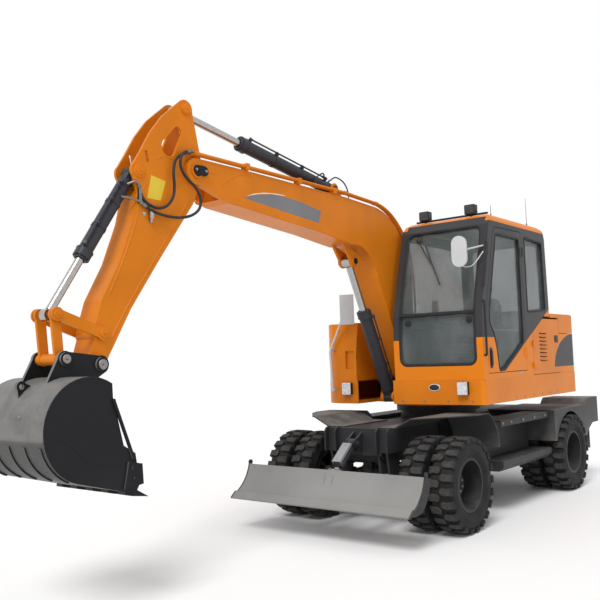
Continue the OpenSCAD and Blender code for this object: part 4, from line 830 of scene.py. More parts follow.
# Seals round the panes
DOOR_PANE = [(0.560, 1.430), (0.446, 1.438), (-0.060, 1.703), (-0.060, 2.800), (0.505, 2.800),
             (0.735, 2.020), (0.735, 1.900), (0.650, 1.790), (0.600, 1.650)]
QUARTER_PANE = [(-0.210, 2.030), (-0.210, 2.835), (-0.690, 2.815), (-0.710, 2.060)]
RIGHT_PANE = [(0.840, 1.995), (0.610, 2.790), (0.560, 2.835), (-0.690, 2.820), (-0.710, 2.055)]
SEAL_WIDE, SEAL_TALL = 0.011, 0.005
side_seals = [bead([at(x, BODY_LEFT, z) for x, z in softened(QUARTER_PANE, 0.03)], SEAL_WIDE,
                   SEAL_TALL, LEFT),
              bead([at(x, 0.020, z) for x, z in softened(RIGHT_PANE, 0.03)], SEAL_WIDE, SEAL_TALL,
                   RIGHT)]
# Windscreen and rear pane, each (bead's width, lowest, highest, right, left, profile, out)
SCREENS = ((0.014, 1.505, 2.875, 0.098, 0.932, FRONT_LINE, FORWARD),
           (0.012, 2.070, 2.820, 0.110, 0.920, REAR_LINE, BACK))
for wide, low, high, y0, y1, line, lift in SCREENS:
    middle_y, middle_z = (y0 + y1) / 2, (low + high) / 2
    corners = [at(on_line(line, middle_z + h), middle_y + w, middle_z + h)
               for w, h in rounded(y1 - y0, high - low, 0.070, 8)]
    path = []
    for here, after in zip(corners, corners[1:] + corners[:1]):
        parts = max(1, int((after - here).length / 0.06))
        for k in range(parts):
            point = here.lerp(after, k / parts)
            path.append(at(on_line(line, point.z), point.y, point.z))
    side_seals.append(bead(path, wide, SEAL_TALL, lift))
piece("pane_seals", side_seals, seal_rubber, "upper")
piece("door_pane_seal",
      [bead([at(x, BODY_LEFT, z) for x, z in softened(DOOR_PANE, 0.03)], SEAL_WIDE, SEAL_TALL,
            LEFT)], seal_rubber, "cab_door")

SCREEN_NORMAL = Vector((0.961, 0, 0.275))


def on_screen(y, z, out=0.0):
    """A point before the windscreen, out along its slope's normal."""
    return at(on_line(FRONT_LINE, z), y, z) + SCREEN_NORMAL * out


# Bar across the screen, with the lower pane's two round catches under it
CATCH = ((0, 0.030), (0.006, 0.030), (0.009, 0.024), (0.009, 0.016), (0.020, 0.014), (0.023, 0.010))
bars = [block(on_screen(CAB_Y, 2.010) + Vector((0.008, 0, 0)), (0.030, 0.836, 0.036), 0.008)]
bars += [turned_part(on_screen(y, z) - Vector((0.004, 0, 0)), FORWARD, CATCH, 24)
         for y, z in ((0.190, 1.930), (0.868, 1.936))]
piece("screen_bar", bars, black_plastic, "upper")


def tube(path, radius, sides=12):
    """A round bar or hose along a path, with its ends closed."""
    path = [Vector(p) for p in path]
    side = (path[1] - path[0]).orthogonal().normalized()
    rings = []
    for i, p in enumerate(path):
        onward = (path[min(i + 1, len(path) - 1)] - path[max(i - 1, 0)]).normalized()
        side = (side - onward * side.dot(onward)).normalized()
        other = onward.cross(side)
        rings.append(hoop(p, side * radius, other * radius, sides))
    return skinned(rings)


# Wiper on the upper screen, with its motor's cap, its arm and its blade
wiper = [turned_part(on_screen(0.235, 2.800), SCREEN_NORMAL,
                     ((0, 0.026), (0.014, 0.024), (0.020, 0.016)), 20),
         tube([on_screen(0.235, 2.800, 0.018), on_screen(0.300, 2.700, 0.024),
               on_screen(0.420, 2.520, 0.018)], 0.007, 8),
         tube(eased([on_screen(0.330, 2.730, 0.012), on_screen(0.430, 2.520, 0.014),
                     on_screen(0.540, 2.300, 0.012)]), 0.009, 8)]
piece("screen_wiper", wiper, black_plastic, "upper")

# Grab rails on the front pillar and two aerials on the roof
RAILS = ([(0.870, 1.008, 2.260), (0.866, 1.030, 2.262), (0.852, 1.034, 2.310),
          (0.760, 1.034, 2.640), (0.738, 1.030, 2.690), (0.734, 1.008, 2.692)],
         [(0.885, 1.008, 1.590), (0.885, 1.030, 1.592), (0.885, 1.034, 1.640),
          (0.885, 1.034, 2.060), (0.885, 1.030, 2.108), (0.885, 1.008, 2.110)])
rails = [tube(eased(route(points)), 0.0105, 14) for points in RAILS]
piece("cab_grab_rails", rails, black_plastic, "upper")
AERIAL_FOOT_Z = 2.990
aerials = []
for x, y, high, thick in ((0.300, 0.880, 3.130, 0.0035), (-0.580, 0.900, 3.330, 0.0030)):
    foot = at(x, y, AERIAL_FOOT_Z)
    aerials.append(turned_part(foot, RISE,
                               ((-0.004, 0.018), (0.012, 0.016), (0.018, 0.008), (0.050, 0.006)),
                               16))
    aerials.append(turned_part(foot, RISE, ((0.045, thick), (high - AERIAL_FOOT_Z, thick * 0.6)),
                               8))
piece("roof_aerials", aerials, black_plastic, "upper")

# Door handle beside the front edge, and the bar inside the door's pane
HANDLE = at(0.742, BODY_LEFT, 1.560)
handle = [plate(rounded(0.060, 0.200, 0.018), HANDLE + Vector((0, -0.002, 0)), BACK, RISE, 0.006,
                0.002),
          plate(rounded(0.034, 0.150, 0.012), HANDLE + Vector((0, 0.003, 0)), BACK, RISE, 0.014,
                0.004),
          turned_part(HANDLE + Vector((0, 0.003, -0.088)), LEFT,
                      ((0, 0.008), (0.003, 0.008), (0.004, 0.006)), 14)]
piece("door_handle", handle, black_plastic, "cab_door")
inner_bar = [(-0.020, 0.972, 1.830), (-0.020, 0.950, 1.832), (0.040, 0.945, 1.834),
             (0.580, 0.945, 1.834), (0.640, 0.950, 1.832), (0.640, 0.972, 1.830)]
piece("door_inner_bar", [tube(eased(route(inner_bar)), 0.011)], plate_paint, "cab_door")


# Mirrors
# An oval mirror in a pale shell before the cab, and a tall one on the right stay. Each
# has a glass set in its shell on the side that the driver sees.

mirror_paint = painted("mirror_shell", tint(0.62, 0.63, 0.64), rough=0.30, coat=0.4, dust=0.08)
finish_node("mirrors", mirror_paint, 0.005)
silvered = bare_metal("mirror_glass", tint(0.80, 0.82, 0.83), 0.03, 0.01)


def stadium(width, height, steps=12):
    """Two half circles joined by straight sides."""
    r = width / 2
    angles = [math.pi * i / steps for i in range(steps + 1)]
    points = [(r * math.cos(a), height / 2 - r + r * math.sin(a)) for a in angles]
    return points + [(-x, -y) for x, y in points]


def mirror_glass(outline, middle, swing, thick=0.002):
    """A glass on a mirror that is turned out by the angle swing, on its driver's side."""
    seen = Vector((-math.cos(math.radians(swing)), -math.sin(math.radians(swing)), 0))
    return plate(outline, middle + seen * 0.0005, Vector(RISE).cross(seen), RISE, thick, 0.001)


glasses = [mirror_glass(stadium(0.132, 0.280), at(1.000, 0.860, 2.590), 8),
           mirror_glass(rounded(0.132, 0.300, 0.014), at(0.950, -0.525, 2.120), 20)]
piece("mirror_glasses", glasses, silvered, "upper")
wire = [(0.760, 0.990, 2.600), (0.860, 0.930, 2.470), (0.960, 0.905, 2.440), (1.010, 0.880, 2.450)]
piece("mirror_wire_stay", [tube(eased(route(wire), 8), 0.005, 8)], mirror_paint, "upper")


# Driver's seat
# Three foam pads in dark woven cloth on a moulded pan, over a folded rubber bellows. The
# pads are sewn with piped side panels, and the headrest slides on two plated stalks.

# Half the width of the cushions' woven middle, between the seams that run along them
PANEL_HALF = 0.150
weave_material, shader, cloth = surface("seat_cloth")
THREAD = 2 * math.pi / 0.0036
across_threads = (cloth.axis("Y") * THREAD).wave()
up_threads = ((cloth.axis("X") + cloth.axis("Z")) * THREAD).wave()
faded = cloth.noise(6.0, 4.0, 0.6).step(0.35, 0.75)
fleck = cloth.noise(320.0, 2.0).step(0.52, 0.68)
panel = 1 - (cloth.axis("Y") - CAB_Y).size().above(PANEL_HALF, 0.001)
dyed = panel.mix(tint(0.030, 0.031, 0.034), tint(0.058, 0.060, 0.066))
worn = faded.mix(dyed, tint(0.072, 0.072, 0.075))
(0.55 * fleck * panel).mix(worn, tint(0.150, 0.152, 0.158)).drive(shader, "Base Color")
(0.86 + 0.08 * faded).drive(shader, "Roughness")
threads = across_threads * up_threads + 0.8 * cloth.noise(60.0, 3.0)
threads.bump(0.55, 0.0009).drive(shader, "Normal")
shader.inputs["Sheen Weight"].default_value = 0.30
shader.inputs["Sheen Roughness"].default_value = 0.55


def pad_shape(section, half, reach=0.055, steps=12):
    """A pad's cut foam: one section in X and Z, drawn in towards both its sides."""
    middle = sum((Vector(p) for p in section), Vector((0, 0))) / len(section)
    rings = []
    for i in range(steps + 1):
        s = -1 + 2 * i / steps
        y = CAB_Y + half * math.copysign(1 - (1 - abs(s)) ** 1.6, s)
        drawn = 1 - reach * abs(s) ** 5 / 0.16
        rings.append([at(middle.x + (p[0] - middle.x) * drawn, y,
                         middle.y + (p[1] - middle.y) * drawn) for p in section])
    return skinned(rings)


SWELL_STEPS = 20


def blown_pad(name, section, half, cap, seam, voxel=0.009):
    """Foam swollen under its cloth by simulation, then drawn in along its sewn seams."""
    pad = piece(name, [pad_shape(section, half)], weave_material, "upper")
    remesh = pad.modifiers.new("even_skin", "REMESH")
    remesh.mode = "VOXEL"
    remesh.voxel_size = voxel
    bpy.context.view_layer.update()
    skin = bpy.data.meshes.new_from_object(pad.evaluated_get(bpy.context.evaluated_depsgraph_get()))
    pad.modifiers.clear()
    pad.data = skin
    flat = [v.co.copy() for v in skin.vertices]
    swell = pad.modifiers.new("swelling", "CLOTH")
    swell.settings.use_pressure = True
    swell.settings.uniform_pressure_force = 4.0
    swell.settings.effector_weights.gravity = 0
    swell.settings.quality = 4
    swell.point_cache.frame_start = 1
    swell.point_cache.frame_end = SWELL_STEPS
    for step in range(SWELL_STEPS):
        bpy.context.scene.frame_set(step + 1)
    blown = pad.evaluated_get(bpy.context.evaluated_depsgraph_get()).to_mesh()
    moved = [v.co.copy() for v in blown.vertices]
    pad.modifiers.clear()
    bpy.context.scene.frame_set(1)
    for v, old, new in zip(skin.vertices, flat, moved):
        move = new - old
        v.co = old + move * min(1.0, cap / max(move.length, 1e-6))
    skin.update()
    normals = [v.normal.copy() for v in skin.vertices]
    for v, out in zip(skin.vertices, normals):
        v.co = v.co - out * max(seam(v.co.x - SLEW_X, v.co.y - CAB_Y, v.co.z, out), 0.0)
    soften = pad.modifiers.new("soft_skin", "SUBSURF")
    soften.levels = 1
    soften.render_levels = 1
    skin.materials.clear()
    skin.materials.append(weave_material)
    skin.shade_smooth()


def groove(distance, wide=0.007, deep=0.0055):
    return deep * math.exp(-(distance / wide) ** 2)


BACK_LOW, BACK_HIGH = Vector((-0.045, 1.730)), Vector((-0.155, 2.190))
back_line = (BACK_HIGH - BACK_LOW).normalized()


def panel_seams(along, y, rows, end=1.0):
    """Two seams along a pad as far as its end, and rows of them across its middle panel."""
    sides = groove(abs(y) - PANEL_HALF) if along < end else 0.0
    across = max(groove(along - row) for row in rows) if abs(y) < PANEL_HALF else 0.0
    return max(sides, across)


def cushion_seams(x, y, z, out):
    top = panel_seams(x, y, (0.080, 0.180, 0.280), 0.36) if out.z > 0.3 else 0.0
    welt = groove(z - 1.655) if abs(out.z) < 0.6 else 0.0
    return max(top, welt)


def back_seams(x, y, z, out):
    along = (Vector((x, z)) - BACK_LOW).dot(back_line)
    return panel_seams(along, y, (0.10, 0.20, 0.30, 0.40)) if out.x > 0.3 else 0.0


def rest_seams(x, y, z, out):
    return groove(abs(y) - 0.095) if abs(out.y) < 0.7 else 0.0


# The three pads' sections in X and Z
CUSHION = [(-0.030, 1.640), (-0.020, 1.700), (0.060, 1.690), (0.240, 1.697), (0.340, 1.704),
           (0.392, 1.690), (0.402, 1.655), (0.372, 1.622), (0.200, 1.615), (0.020, 1.615)]
BACKREST = [(-0.020, 1.745), (-0.028, 1.830), (-0.066, 2.000), (-0.118, 2.190), (-0.150, 2.214),
            (-0.196, 2.196), (-0.204, 2.160), (-0.158, 1.960), (-0.120, 1.790), (-0.100, 1.732),
            (-0.060, 1.722)]
HEADREST = [(-0.160, 2.262), (-0.176, 2.330), (-0.190, 2.405), (-0.212, 2.420), (-0.224, 2.400),
            (-0.216, 2.330), (-0.206, 2.265), (-0.184, 2.250)]
blown_pad("seat_cushion", CUSHION, half=0.225, cap=0.014, seam=cushion_seams)
blown_pad("seat_back", BACKREST, half=0.222, cap=0.014, seam=back_seams)
blown_pad("seat_headrest", HEADREST, half=0.115, cap=0.009, seam=rest_seams, voxel=0.007)

# Pan under the cushion, shell behind the back, bellows, rails and headrest stalks
seat_parts = [plate(rounded(0.370, 0.400, 0.040), at(0.175, CAB_Y, 1.596), FORWARD, LEFT, 0.022,
                    0.006)]
folds = []
for i in range(13):
    fold = 0.0 if i % 2 else 0.020
    folds.append([at(0.130 + x, CAB_Y + y, 1.432 + 0.0135 * i)
                  for x, y in rounded(0.330 - fold, 0.350 - fold, 0.045)])
RECLINER = ((-0.030, 0.030), (0.010, 0.030), (0.014, 0.026))
RAIL_LEVER = ((-0.010, 0.011), (0.040, 0.011), (0.044, 0.014), (0.052, 0.014), (0.054, 0.010))
for side in (1, -1):
    seat_parts.append(block(at(0.130, CAB_Y + side * 0.165, 1.4155), (0.370, 0.040, 0.030)))
    seat_parts.append(turned_part(at(-0.090, CAB_Y + side * 0.228, 1.690), (0, side, 0), RECLINER,
                                  24))
    seat_parts.append(turned_part(at(0.150, CAB_Y + side * 0.185, 1.606), (0, side, 0), RAIL_LEVER,
                                  16))
shell = [(-0.128, 1.700), (-0.160, 1.790), (-0.200, 1.960), (-0.226, 2.110), (-0.218, 2.120),
         (-0.186, 1.960), (-0.146, 1.790), (-0.112, 1.700)]
seat_parts.append(skinned([[at(x, CAB_Y + y, z) for x, z in shell]
                           for y in (-0.195, -0.185, 0.185, 0.195)]))
piece("seat_bellows", [skinned(folds)], seal_rubber, "upper")
pan = piece("seat_pan", seat_parts, black_plastic, "upper")
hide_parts("operator_seat")
stalks = [tube([at(-0.163, CAB_Y + y, 2.170), at(-0.196, CAB_Y + y, 2.300)], 0.006)
          for y in (0.055, -0.055)]
piece("headrest_stalks", stalks, chrome, "upper")


# Controls and floor
# Moulded consoles with a joystick in a rubber boot on each, a steering column with a rimmed
# wheel, two ribbed pedals, a monitor on a bracket and a ribbed mat over the floor.

console_plastic = moulded("console_plastic", tint(0.040, 0.041, 0.044), 0.5)
finish_node("cab_controls", console_plastic, 0.006)
CONSOLE_TOP, LEVER_X, LEVER_Y = 1.877, 0.260, 0.330
BOOT = ((-0.001, 0.056), (0.006, 0.056), (0.009, 0.048), (0.018, 0.050), (0.024, 0.041),
        (0.033, 0.043), (0.039, 0.034), (0.048, 0.036), (0.056, 0.024), (0.074, 0.019))
GRIP = ((0.090, 0.0155), (0.100, 0.022), (0.116, 0.0235), (0.134, 0.021), (0.148, 0.0245),
        (0.170, 0.0315), (0.186, 0.0310), (0.192, 0.024))
BUTTON = ((0, 0.0065), (0.010, 0.0065), (0.012, 0.005))
boots, grips = [], []
for side in (1, -1):
    foot = at(LEVER_X, CAB_Y + side * LEVER_Y, CONSOLE_TOP)
    boots.append(turned_part(foot, RISE, BOOT, 28))
    grips.append(turned_part(foot, RISE, GRIP, 24))
    grips += [turned_part(foot + Vector((0.026, y, 0.176)), (0.9, 0, 0.45), BUTTON, 12)
              for y in (-0.014, 0.014)]
piece("lever_boots", boots, seal_rubber, "upper")
piece("lever_grips", grips, black_plastic, "upper")
# An armrest's levels over the console, each (height, share of its full outline)
REST_LEVELS = ((0.0, 0.90), (0.008, 0.985), (0.022, 1.0), (0.034, 0.96), (0.040, 0.86),
               (0.042, 0.60))
for side, label in ((1, "left"), (-1, "right")):
    rings = [[at(0.060 + x * share, CAB_Y + side * LEVER_Y + y * share, CONSOLE_TOP + high)
              for x, y in rounded(0.230, 0.100, 0.035)] for high, share in REST_LEVELS]
    rest = piece("armrest_" + label, [skinned(rings)], weave_material, "upper")
    rounder = rest.modifiers.new("soft_skin", "SUBSURF")
    rounder.levels = 2
    rounder.render_levels = 2

# Monitor on its post, ribs of both pedals, hub and spinner knob of the steering wheel
SCREEN_AXES = ((0.97, 0.12, 0.2), (-0.12, 0.99, 0), (-0.2, 0, 0.97))
fittings = [block(at(0.600, 0.130, 1.640), (0.030, 0.030, 0.480), 0.005),
            block(at(0.585, 0.150, 1.930), (0.050, 0.200, 0.150), 0.012, SCREEN_AXES)]
for y in (-0.095, 0.095):
    fittings += [block(at(0.640 + 0.030 * k, CAB_Y + y, 1.428 + 0.0173 * k), (0.006, 0.062, 0.010),
                       0.002) for k in range(4)]
HUB = ((0.018, 0.044), (0.030, 0.040), (0.036, 0.026))
KNOB = ((0.0, 0.010), (0.030, 0.010), (0.036, 0.022), (0.056, 0.024), (0.064, 0.016))
wheel_middle, wheel_axis = at(0.484, CAB_Y, 1.943), Vector((-0.242, 0, 0.970))
fittings.append(turned_part(wheel_middle, wheel_axis, HUB, 28))
fittings.append(turned_part(wheel_middle + Vector((0.01, 0.172, 0.0)), wheel_axis, KNOB))
piece("cab_fittings", fittings, black_plastic, "upper")
screen_left, screen_up = Vector(SCREEN_AXES[1]), Vector(SCREEN_AXES[2])
monitor = plate(rounded(0.170, 0.118, 0.006), at(0.560, 0.147, 1.925), -screen_left, screen_up,
                0.003)
piece("monitor_screen", [monitor], dark_lens, "upper")
mat = [plate(rounded(1.420, 0.830, 0.040), at(0.070, CAB_Y, 1.398), FORWARD, LEFT, 0.005, 0.002)]
mat += [block(at(0.420 + 0.028 * k, CAB_Y, 1.4045), (0.010, 0.700, 0.004), 0.0012)
        for k in range(12)]
piece("floor_mat", mat, seal_rubber, "upper")


# Boom and arm
# Welded box sections in the same orange, with pressed pin bosses, weld beads along their
# seams, bare decal panels and a forged plate that locks the arm's pin.

equipment_paint = painted("equipment_paint", ORANGE, rough=0.36, coat=0.06, dust=0.10, dust_top=0.9)
for name in ("boom", "arm", "rocker", "bucket_link"):
    finish_node(name, equipment_paint, 0.005)
finish_node("boom_pipes", equipment_paint, 0.0015)

# The equipment's pins in X and Z, and its two sides as (side, away from it, along it)
BOOM_HALF, ARM_HALF = 0.140, 0.100
SIDES = ((1, LEFT, BACK), (-1, RIGHT, FORWARD))
PIN_BOOM_FOOT, PIN_BOOM_CYLINDER, PIN_ARM_CYLINDER = (0.450, 1.470), (1.380, 2.570), (1.650, 3.270)
PIN_ARM, PIN_ARM_TAIL, PIN_BUCKET_CYLINDER = (3.590, 3.100), (3.660, 3.590), (4.130, 3.020)
PIN_ROCKER, PIN_LINK_TOP = (4.480, 1.830), (4.840, 1.955)
PIN_LINK_LOW, PIN_BUCKET = (4.812, 1.662), (4.530, 1.620)


def on_equipment(point, y):
    """A point of the boom or arm, y from their mid plane."""
    return at(point[0], BOOM_Y + y, point[1])


def caps(table):
    """A retaining disc at both ends of each pin, from rows of (pin, distance out, radius)."""
    return [cap_ring(on_equipment(pin, side * out), away, radius)
            for pin, out, radius in table for side, away, _ in SIDES]


boom_pins = ((PIN_BOOM_CYLINDER, 0.093, 0.032), (PIN_ARM_CYLINDER, 0.076, 0.026),
             (PIN_ARM, 0.154, 0.042))
piece("boom_pin_caps", caps(boom_pins), black_paint, "boom")
piece("boom_foot_caps", caps(((PIN_BOOM_FOOT, 0.175, 0.032),)), black_paint, "upper")
BOSS = ((-0.002, 0.052), (0.006, 0.052), (0.010, 0.047))
bosses = [turned_part(on_equipment(PIN_BUCKET_CYLINDER, side * ARM_HALF), away, BOSS, 36)
          for side, away, _ in SIDES]
piece("arm_bosses", bosses, equipment_paint, "arm")
arm_pins = ((PIN_ARM_TAIL, 0.114, 0.038), (PIN_BUCKET_CYLINDER, 0.110, 0.032))
piece("arm_pin_caps", caps(arm_pins), equipment_paint, "arm")

# Lock plate of the arm's pin: a dark oval forging with two bolts, on both sides
LOCK_MIDDLE, LOCK_OUT = (3.560, 3.108), BOOM_HALF + 0.014
lock_outline = [(t, s) for s, t in stadium(0.080, 0.156)]
locks, heads = [], []
for side, away, back in SIDES:
    centre = on_equipment(LOCK_MIDDLE, side * LOCK_OUT)
    locks.append(plate(lock_outline, centre, back, RISE, 0.010, 0.003))
    heads += [hexagon_head(centre + Vector((x, side * 0.010, 0)), away, 0.017)
              for x in (-0.052, 0.052)]
piece("pin_lock_plates", locks, black_paint, "boom")
piece("pin_lock_bolts", heads, bolt_steel, "boom")

# Weld beads along the boom's top and bottom seams and round its stiffening plates
KNEE_MIDDLE, KNEE_R = Vector((1.130, 2.420)), 0.735
TOP_EDGE = ((1.600, 3.182), (2.300, 3.1925), (3.060, 3.204), (3.330, 3.204))
BOTTOM_EDGE = ((3.330, 2.925), (3.225, 2.895), (2.050, 2.790), (1.560, 2.730))


def boom_edges(inset):
    """The boom's upper and lower edges in X and Z, moved in from the real edge."""
    knee = [math.radians(a) for a in range(174, 95, -6)]
    upper = [KNEE_MIDDLE + (KNEE_R - inset) * Vector((math.cos(a), math.sin(a))) for a in knee]
    upper += [(x, z - inset) for x, z in TOP_EDGE]
    return upper, [(x, z + inset) for x, z in BOTTOM_EDGE]


def side_welds(seams, half, wide, tall):
    """The same weld beads on both sides of the boom or arm."""
    beads = []
    for side, away, _ in SIDES:
        for seam in seams:
            path = eased([(p[0], p[1], 0) for p in seam], 4)
            beads.append(bead([on_equipment(p, side * half) for p in path], wide, tall, away,
                              closed=False))
    return beads


STIFFENER_SEAMS = ([(3.487, 3.108), (3.430, 3.114), (3.375, 3.116)],
                   [(3.321, 3.037), (3.216, 3.096), (3.126, 3.147), (3.050, 3.162), (2.972, 3.162)])
ARM_SEAMS = ([(3.954, 3.141), (3.920, 3.165), (3.880, 3.174), (3.820, 3.170), (3.759, 3.157)],
             [(4.060, 2.950), (4.124, 2.840), (4.172, 2.640), (4.292, 2.345), (4.410, 2.110)],
             [(3.655, 2.850), (4.010, 2.365), (4.260, 2.020), (4.400, 1.800)])
welds = side_welds(boom_edges(0.010), BOOM_HALF, 0.0050, 0.0030)
welds += side_welds(STIFFENER_SEAMS, BOOM_HALF, 0.0065, 0.0035)
piece("boom_welds", welds, equipment_paint, "boom")
piece("arm_welds", side_welds(ARM_SEAMS, ARM_HALF, 0.0060, 0.0032), equipment_paint, "arm")

# Bare decal panels: a grey one under a white sliver on the boom, a yellow one on the arm
decal_grey = painted("decal_grey", tint(0.205, 0.206, 0.216), rough=0.32, coat=0.3, dust=0.10)
decal_white = painted("decal_white", tint(0.78, 0.78, 0.77), rough=0.32, coat=0.3, dust=0.08)
decal_yellow = painted("decal_yellow", tint(0.78, 0.56, 0.045), rough=0.36, coat=0.25, dust=0.08)
GREY_PANEL = [(3.060, 2.966), (2.950, 3.000), (2.851, 3.023), (2.700, 3.046), (2.551, 3.051),
              (2.300, 3.036), (1.987, 2.989), (2.032, 2.872), (2.523, 2.914), (2.790, 2.941)]
WHITE_SLIVER = [(3.030, 2.984), (2.930, 3.019), (2.800, 3.047), (2.653, 3.062), (2.500, 3.064),
                (2.551, 3.056), (2.700, 3.050), (2.851, 3.028), (2.950, 3.004)]
YELLOW_PANEL = [(4.018, 3.006), (3.878, 2.981), (3.930, 2.826), (4.060, 2.828)]
DECAL_THICK, DECAL_EDGE = 0.0008, 0.0003
# Each (piece's name, outline, half width of the box it is on, paint, body)
DECALS = (("boom_grey_panels", GREY_PANEL, BOOM_HALF, decal_grey, "boom"),
          ("boom_white_slivers", WHITE_SLIVER, BOOM_HALF, decal_white, "boom"),
          ("arm_yellow_panels", YELLOW_PANEL, ARM_HALF, decal_yellow, "arm"))
for label, outline, half, paint, body in DECALS:
    sheets = [plate([(-side * x, z) for x, z in outline], on_equipment((0, 0), side * half), back,
                    RISE, DECAL_THICK, DECAL_EDGE) for side, _, back in SIDES]
    piece(label, sheets, paint, body)

# Grease block and bolt on the arm's face
GREASE_BLOCK = on_equipment((4.037, 2.700), ARM_HALF + 0.014)
UNION = ((0.028, 0.012), (0.046, 0.012), (0.048, 0.009), (0.058, 0.008))
block_parts = [block(GREASE_BLOCK, (0.034, 0.030, 0.060))]
block_parts += [turned_part(GREASE_BLOCK, (0, 0, up), UNION, 16) for up in (1, -1)]
block_parts.append(hexagon_head(on_equipment((4.096, 2.707), ARM_HALF), LEFT, 0.022))
piece("arm_grease_block", block_parts, chrome, "arm")


# Hoses
# Two-wire hydraulic hose with a ribbed black cover, in swaged steel ends. Two loop from the
# boom's pipes to the arm, and the rest feed the cylinders over the joints.

hose_rubber = moulded("hose_rubber", tint(0.020, 0.020, 0.021), 0.48, 0.0005, 240.0)
hose_steel = bare_metal("hose_ends", tint(0.24, 0.235, 0.225), 0.34)
# A swaged end over the hose, each (distance back along it, share of the hose's radius)
SWAGED_END = ((-0.026, 0.8), (-0.024, 1.5), (-0.010, 1.5), (-0.008, 1.05), (0.0, 1.05),
              (0.001, 1.28), (0.034, 1.28), (0.037, 1.1))


def hose(name, points, bodies, bend, diameter=0.022):
    """A hose along a smooth path, with a swaged end on each of two bodies; bend is not used."""
    path = eased(route(points), 8)
    bend_start, bend_end = (tuple(point) for point in route(bend))
    line = piece(name, [tube(path, diameter / 2)], hose_rubber, None)
    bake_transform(line)
    profile = [(along, diameter / 2 * share) for along, share in SWAGED_END]
    for label, first, second, body in (("start", path[0], path[1], bodies[0]),
                                       ("end", path[-1], path[-2], bodies[1])):
        collar = turned_part(first, second - first, profile, 6)
        piece(name + "_" + label, [collar], hose_steel, body)


hose("arm_hose_outer",
     [(3.664, -0.070, 3.236), (3.735, -0.068, 3.208), (3.806, -0.058, 3.145),
      (3.832, -0.050, 3.046), (3.827, -0.050, 2.945), (3.842, -0.052, 2.860),
      (3.896, -0.056, 2.790), (3.980, -0.060, 2.759), (4.062, -0.068, 2.776),
      (4.118, -0.074, 2.822), (4.140, -0.075, 2.884)], ("boom", "arm"),
     ((3.740, -0.068, 3.20), (3.980, -0.06, 2.76)))
hose("arm_hose_inner",
     [(3.664, -0.038, 3.240), (3.732, -0.034, 3.222), (3.778, -0.026, 3.165),
      (3.782, -0.022, 3.095), (3.735, -0.020, 3.028), (3.640, -0.020, 2.962),
      (3.586, -0.020, 2.886), (3.600, -0.020, 2.800), (3.679, -0.022, 2.738),
      (3.795, -0.030, 2.706), (3.920, -0.044, 2.706), (4.030, -0.062, 2.730),
      (4.118, -0.075, 2.776)], ("boom", "arm"), ((3.700, -0.03, 3.21), (3.980, -0.03, 2.73)))
# Elbows that take both hoses on to the bucket cylinder
ELBOWS = ([(4.140, -0.075, 2.876), (4.146, -0.075, 2.912), (4.176, -0.086, 2.932),
           (4.214, -0.122, 2.914)],
          [(4.110, -0.074, 2.772), (4.150, -0.076, 2.790), (4.204, -0.092, 2.806),
           (4.268, -0.128, 2.816)])
elbows = [tube(eased(route(points)), 0.009, 10) for points in ELBOWS]
elbows.append(block(at(4.140, -0.0775, 2.838), (0.026, 0.025, 0.120), 0.003))
piece("arm_elbows", elbows, hose_steel, "arm")

hose("lift_pipe_hose_outer",
     [(0.362, -0.038, 2.500), (0.350, -0.040, 2.400), (0.322, -0.052, 2.200),
      (0.296, -0.072, 1.980), (0.272, -0.098, 1.780), (0.246, -0.122, 1.600),
      (0.206, -0.134, 1.450), (0.160, -0.140, 1.320), (0.130, -0.142, 1.160)], ("boom", "upper"),
     ((0.27, -0.1, 1.78), (0.16, -0.13, 1.38)))
hose("lift_pipe_hose_inner",
     [(0.362, -0.070, 2.500), (0.344, -0.076, 2.380), (0.312, -0.098, 2.180),
      (0.284, -0.122, 1.960), (0.260, -0.150, 1.760), (0.232, -0.172, 1.590),
      (0.190, -0.182, 1.440), (0.140, -0.186, 1.310), (0.110, -0.188, 1.160)], ("boom", "upper"),
     ((0.26, -0.15, 1.76), (0.15, -0.18, 1.37)))
hose("arm_cylinder_hose_front",
     [(1.980, -0.120, 3.216), (1.985, -0.118, 3.262), (1.955, -0.112, 3.330),
      (1.890, -0.110, 3.372), (1.826, -0.128, 3.388), (1.780, -0.150, 3.354)],
     ("boom", "arm_cylinder_tube"), ((1.95, -0.11, 3.33), (1.79, -0.14, 3.38)),
     diameter=0.014)
hose("arm_cylinder_hose_rear",
     [(1.440, -0.120, 3.176), (1.430, -0.118, 3.226), (1.462, -0.114, 3.300),
      (1.530, -0.114, 3.356), (1.625, -0.130, 3.384), (1.694, -0.150, 3.346)],
     ("boom", "arm_cylinder_tube"), ((1.46, -0.12, 3.30), (1.66, -0.14, 3.38)),
     diameter=0.014)
hose("boom_cylinder_hose",
     [(0.540, -0.082, 1.148), (0.590, -0.081, 1.168), (0.650, -0.080, 1.232),
      (0.712, -0.080, 1.312), (0.768, -0.086, 1.380), (0.808, -0.102, 1.424)],
     ("upper", "boom_cylinder_tube"), ((0.58, -0.08, 1.16), (0.78, -0.08, 1.39)),
     diameter=0.018)


# Bucket and linkage
# Rolled steel plate in dark paint, polished grey by earth on its back and under its belly.
# Side cutters are bolted on, and five cast teeth sit on welded adapters.

BOWL_MIDDLE, BOWL_R, BUCKET_HALF = Vector((4.800, 1.215)), 0.332, 0.390


